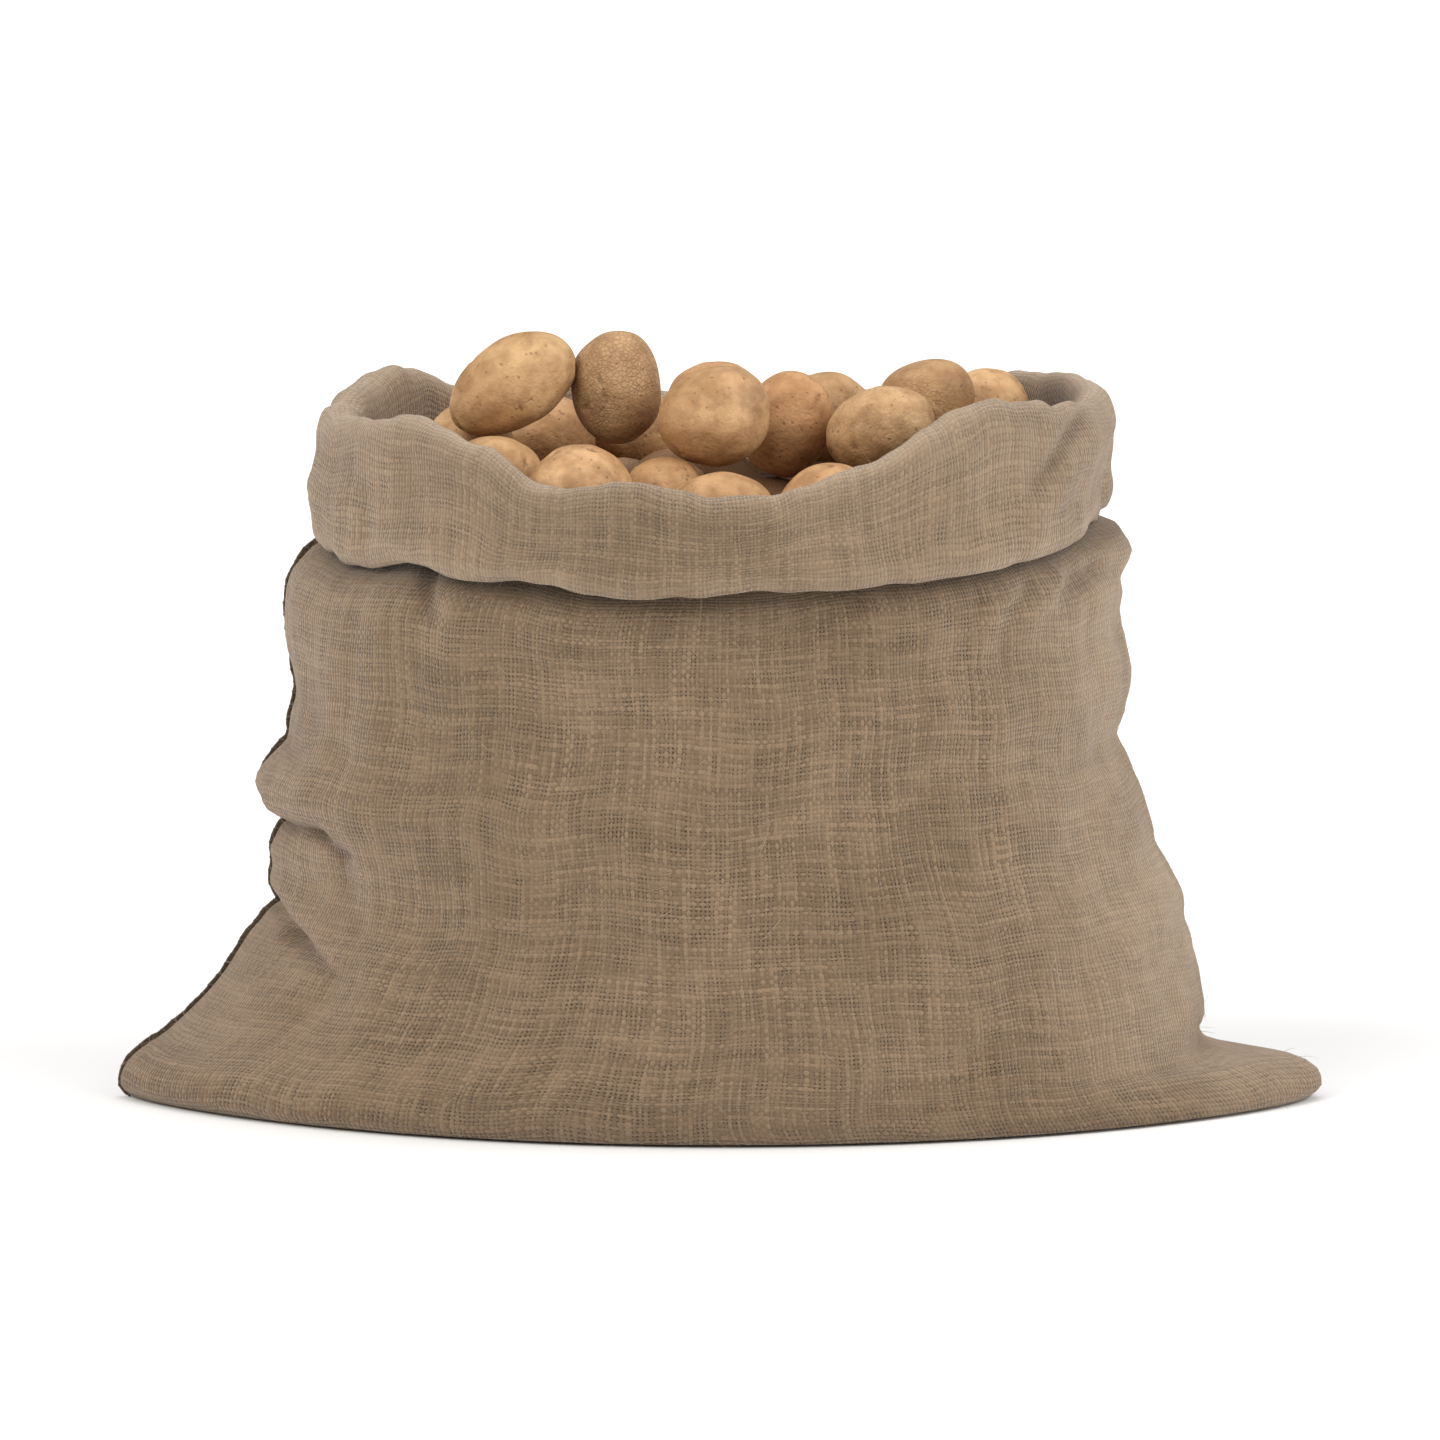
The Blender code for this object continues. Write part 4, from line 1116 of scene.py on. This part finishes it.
def whipped_twine(middle, away, across, material):
    """The twine that winds round the edges."""
    known = np.arange(len(middle))
    fine = np.arange(0, len(middle) - 1, TWINE_SHARE)
    turn = fine * SEAM_STEP / STITCH_STEP * 2 * math.pi
    turn = turn + STITCH_UNEVEN * np.sin(turn * STITCH_UNEVEN_TURN)
    outward = np.cos(turn) * (SEAM_OUT * TWINE_OUT)
    aside = np.sin(turn) * (SEAM_THICK / 2 + TWINE * TWINE_CLEAR)
    line = in_between(middle, known, fine) + in_between(away, known, fine) * outward[:, None]
    line = line + in_between(across, known, fine) * aside[:, None]
    line[:, 2] = np.maximum(line[:, 2], TWINE)
    ways = unit(np.gradient(line, axis=0))
    first = unit(np.cross(ways, OFF_AXIS))
    rings = line[:, None] + TWINE * ring_ways(first, np.cross(ways, first), TWINE_SIDES)
    return mesh_object("seam_twine", rings.reshape(-1, 3), tube_faces(len(line), TWINE_SIDES), material)


def side_seam(cloth, cloth_material, thread_material):
    """The seam up the side: two sewn edges and the twine whipped over them."""
    path, away, across = seam_path(cloth)
    wave = sum(height * np.sin(np.arange(len(path)) * turn) for height, turn in SEAM_WAVES)
    middle = path + away * (SEAM_OUT / 2 + wave)[:, None]
    edge = sewn_edges(middle, away, across, cloth_material)
    twine = whipped_twine(middle, away, across, thread_material)
    for piece in (edge, twine):
        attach(piece, "root")
    return [edge, twine]


def loose_fibres(cloth, material):
    """Short jute hairs that stand out of the cloth, half of them along its rim and cuff."""
    grid, marks = cloth.grid, cloth.marks
    draw = np.random.default_rng(FIBRE_SEED)
    around = (np.roll(grid, -1, axis=1) - np.roll(grid, 1, axis=1)) / 2
    normals = unit(np.cross(np.gradient(grid, axis=0), around))
    bands = (
        (marks.body + 2, marks.neck - 6, FIBRE_COUNT // 2),
        (marks.rim - 4, marks.cuff + 4, FIBRE_COUNT // 4),
        (marks.cuff, marks.hem + 1, FIBRE_COUNT // 4),
    )
    rows = np.concatenate([draw.integers(*band) for band in bands])
    columns = draw.integers(0, COLUMNS, FIBRE_COUNT)
    roots = grid[rows, columns][:, None]
    up = normals[rows, columns][:, None]
    side = unit(draw.normal(size=(FIBRE_COUNT, 1, 3)))
    side = unit(side - up * (side * up).sum(axis=-1, keepdims=True))
    each = (FIBRE_COUNT, 1, 1)
    length = draw.gamma(*FIBRE_LENGTHS, each).clip(FIBRE_SHORTEST, FIBRE_LONGEST)
    rise = draw.uniform(0.10, 0.75, each)
    curl = draw.uniform(-0.9, 0.9, each)
    t = np.linspace(0, 1, FIBRE_POINTS)[:, None]
    path = roots + up * (FIBRE_ROOT + length * rise * (t - FIBRE_DROOP * t**2))
    path = path + side * length * t * FIBRE_RUN + np.cross(up, side) * length * curl * t**2 * FIBRE_CURL
    path[..., 2] = np.maximum(path[..., 2], LOWEST_FIBRE)
    ways = unit(np.gradient(path, axis=1))
    first = unit(np.cross(ways, up + 0.01))
    radius = FIBRE_RADIUS * (1 - FIBRE_TAPER * t[..., None])
    radius = radius * draw.uniform(0.7, 1.3, each)[..., None]
    rings = path[:, :, None] + radius * ring_ways(first, np.cross(ways, first), FIBRE_SIDES)
    faces = []
    for start in range(0, FIBRE_COUNT * FIBRE_POINTS * FIBRE_SIDES, FIBRE_POINTS * FIBRE_SIDES):
        faces += tube_faces(FIBRE_POINTS, FIBRE_SIDES, start)
    fibres = mesh_object("loose_fibres", rings.reshape(-1, 3), faces, material)
    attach(fibres, "root")
    return fibres


# ------------------------ stage, light and camera


def stage():
    shape = bmesh.new()
    bmesh.ops.create_circle(shape, cap_ends=True, radius=FLOOR_RADIUS, segments=FLOOR_SIDES)
    mesh = bpy.data.meshes.new("floor")
    shape.to_mesh(mesh)
    shape.free()
    mesh.materials.append(floor_material())
    floor = linked("floor", mesh)


def soft_sun(name, towards, spread, strength, colour=(1, 1, 1)):
    """An even light from one side of the sky, as from a large softbox. spread is in degrees."""
    lamp = bpy.data.lights.new(name, "SUN")
    lamp.angle = math.radians(spread)
    lamp.energy = strength
    lamp.color = colour
    item = linked(name, lamp)
    item.rotation_mode = "QUATERNION"
    item.rotation_quaternion = Vector(towards).to_track_quat("Z", "Y")


def light_and_camera():
    world = bpy.data.worlds.new("studio")
    bpy.context.scene.world = world
    world.use_nodes = True
    sky = world.node_tree.nodes["Background"]
    sky.inputs["Color"].default_value = grey(1.0)
    sky.inputs["Strength"].default_value = SKY
    soft_sun("key", (-0.70, -0.46, 0.62), 50, 1.9, (1.0, 0.985, 0.96))
    soft_sun("fill", (0.82, -0.38, 0.52), 55, 1.9)
    soft_sun("top", (0.05, 0.15, 0.95), 60, 0.9)
    camera_data = bpy.data.cameras.new("camera")
    camera_data.sensor_width = SENSOR
    camera_data.lens = SENSOR * CAMERA_DISTANCE / FIELD
    camera = linked("camera", camera_data)
    rise = math.radians(CAMERA_RISE)
    back = Vector((0, -math.cos(rise), math.sin(rise)))
    camera.location = Vector(CAMERA_AIM) + back * CAMERA_DISTANCE
    camera.rotation_mode = "QUATERNION"
    camera.rotation_quaternion = (-back).to_track_quat("-Z", "Y")
    bpy.context.scene.camera = camera
    bpy.context.scene.view_settings.view_transform = "Standard"


# ------------------------ the whole

hessian = hessian_material(
    "hessian",
    thread=(0.278, 0.194, 0.122, 1),
    shade=(0.186, 0.126, 0.077, 1),
    gap=(0.060, 0.038, 0.022, 1),
    wear_and_painted_light_colour=(0.430, 0.322, 0.226, 1),
)
# The sewn edges' cloth, painted far darker than the sack's: painted shade along the side seam.
painted_shade_seam_edge = hessian_material(
    "seam_edge_painted_shade",
    thread=(0.090, 0.062, 0.040, 1),
    shade=(0.058, 0.040, 0.026, 1),
    gap=(0.020, 0.013, 0.008, 1),
    wear_and_painted_light_colour=(0.160, 0.115, 0.080, 1),
)
skin = potato_material("potato_skin")
# Dark twine, painted darker still as part of the painted shade along the side seam.
twine_brown = twine_material("twine", (0.040, 0.029, 0.020, 1), (0.105, 0.075, 0.050, 1))
fibre_pale = twine_material("fibre", (0.300, 0.215, 0.140, 1), (0.500, 0.390, 0.280, 1))

cloth = shaped_cloth()
sack = sack_cloth(cloth, hessian)
seam = side_seam(cloth, painted_shade_seam_edge, twine_brown)
fibres = loose_fibres(cloth, fibre_pale)
for index, name in enumerate(sorted(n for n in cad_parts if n.startswith("potato"))):
    dressed_potato(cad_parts[name], skin, index)
lower_potatoes(skin)
stage()
light_and_camera()
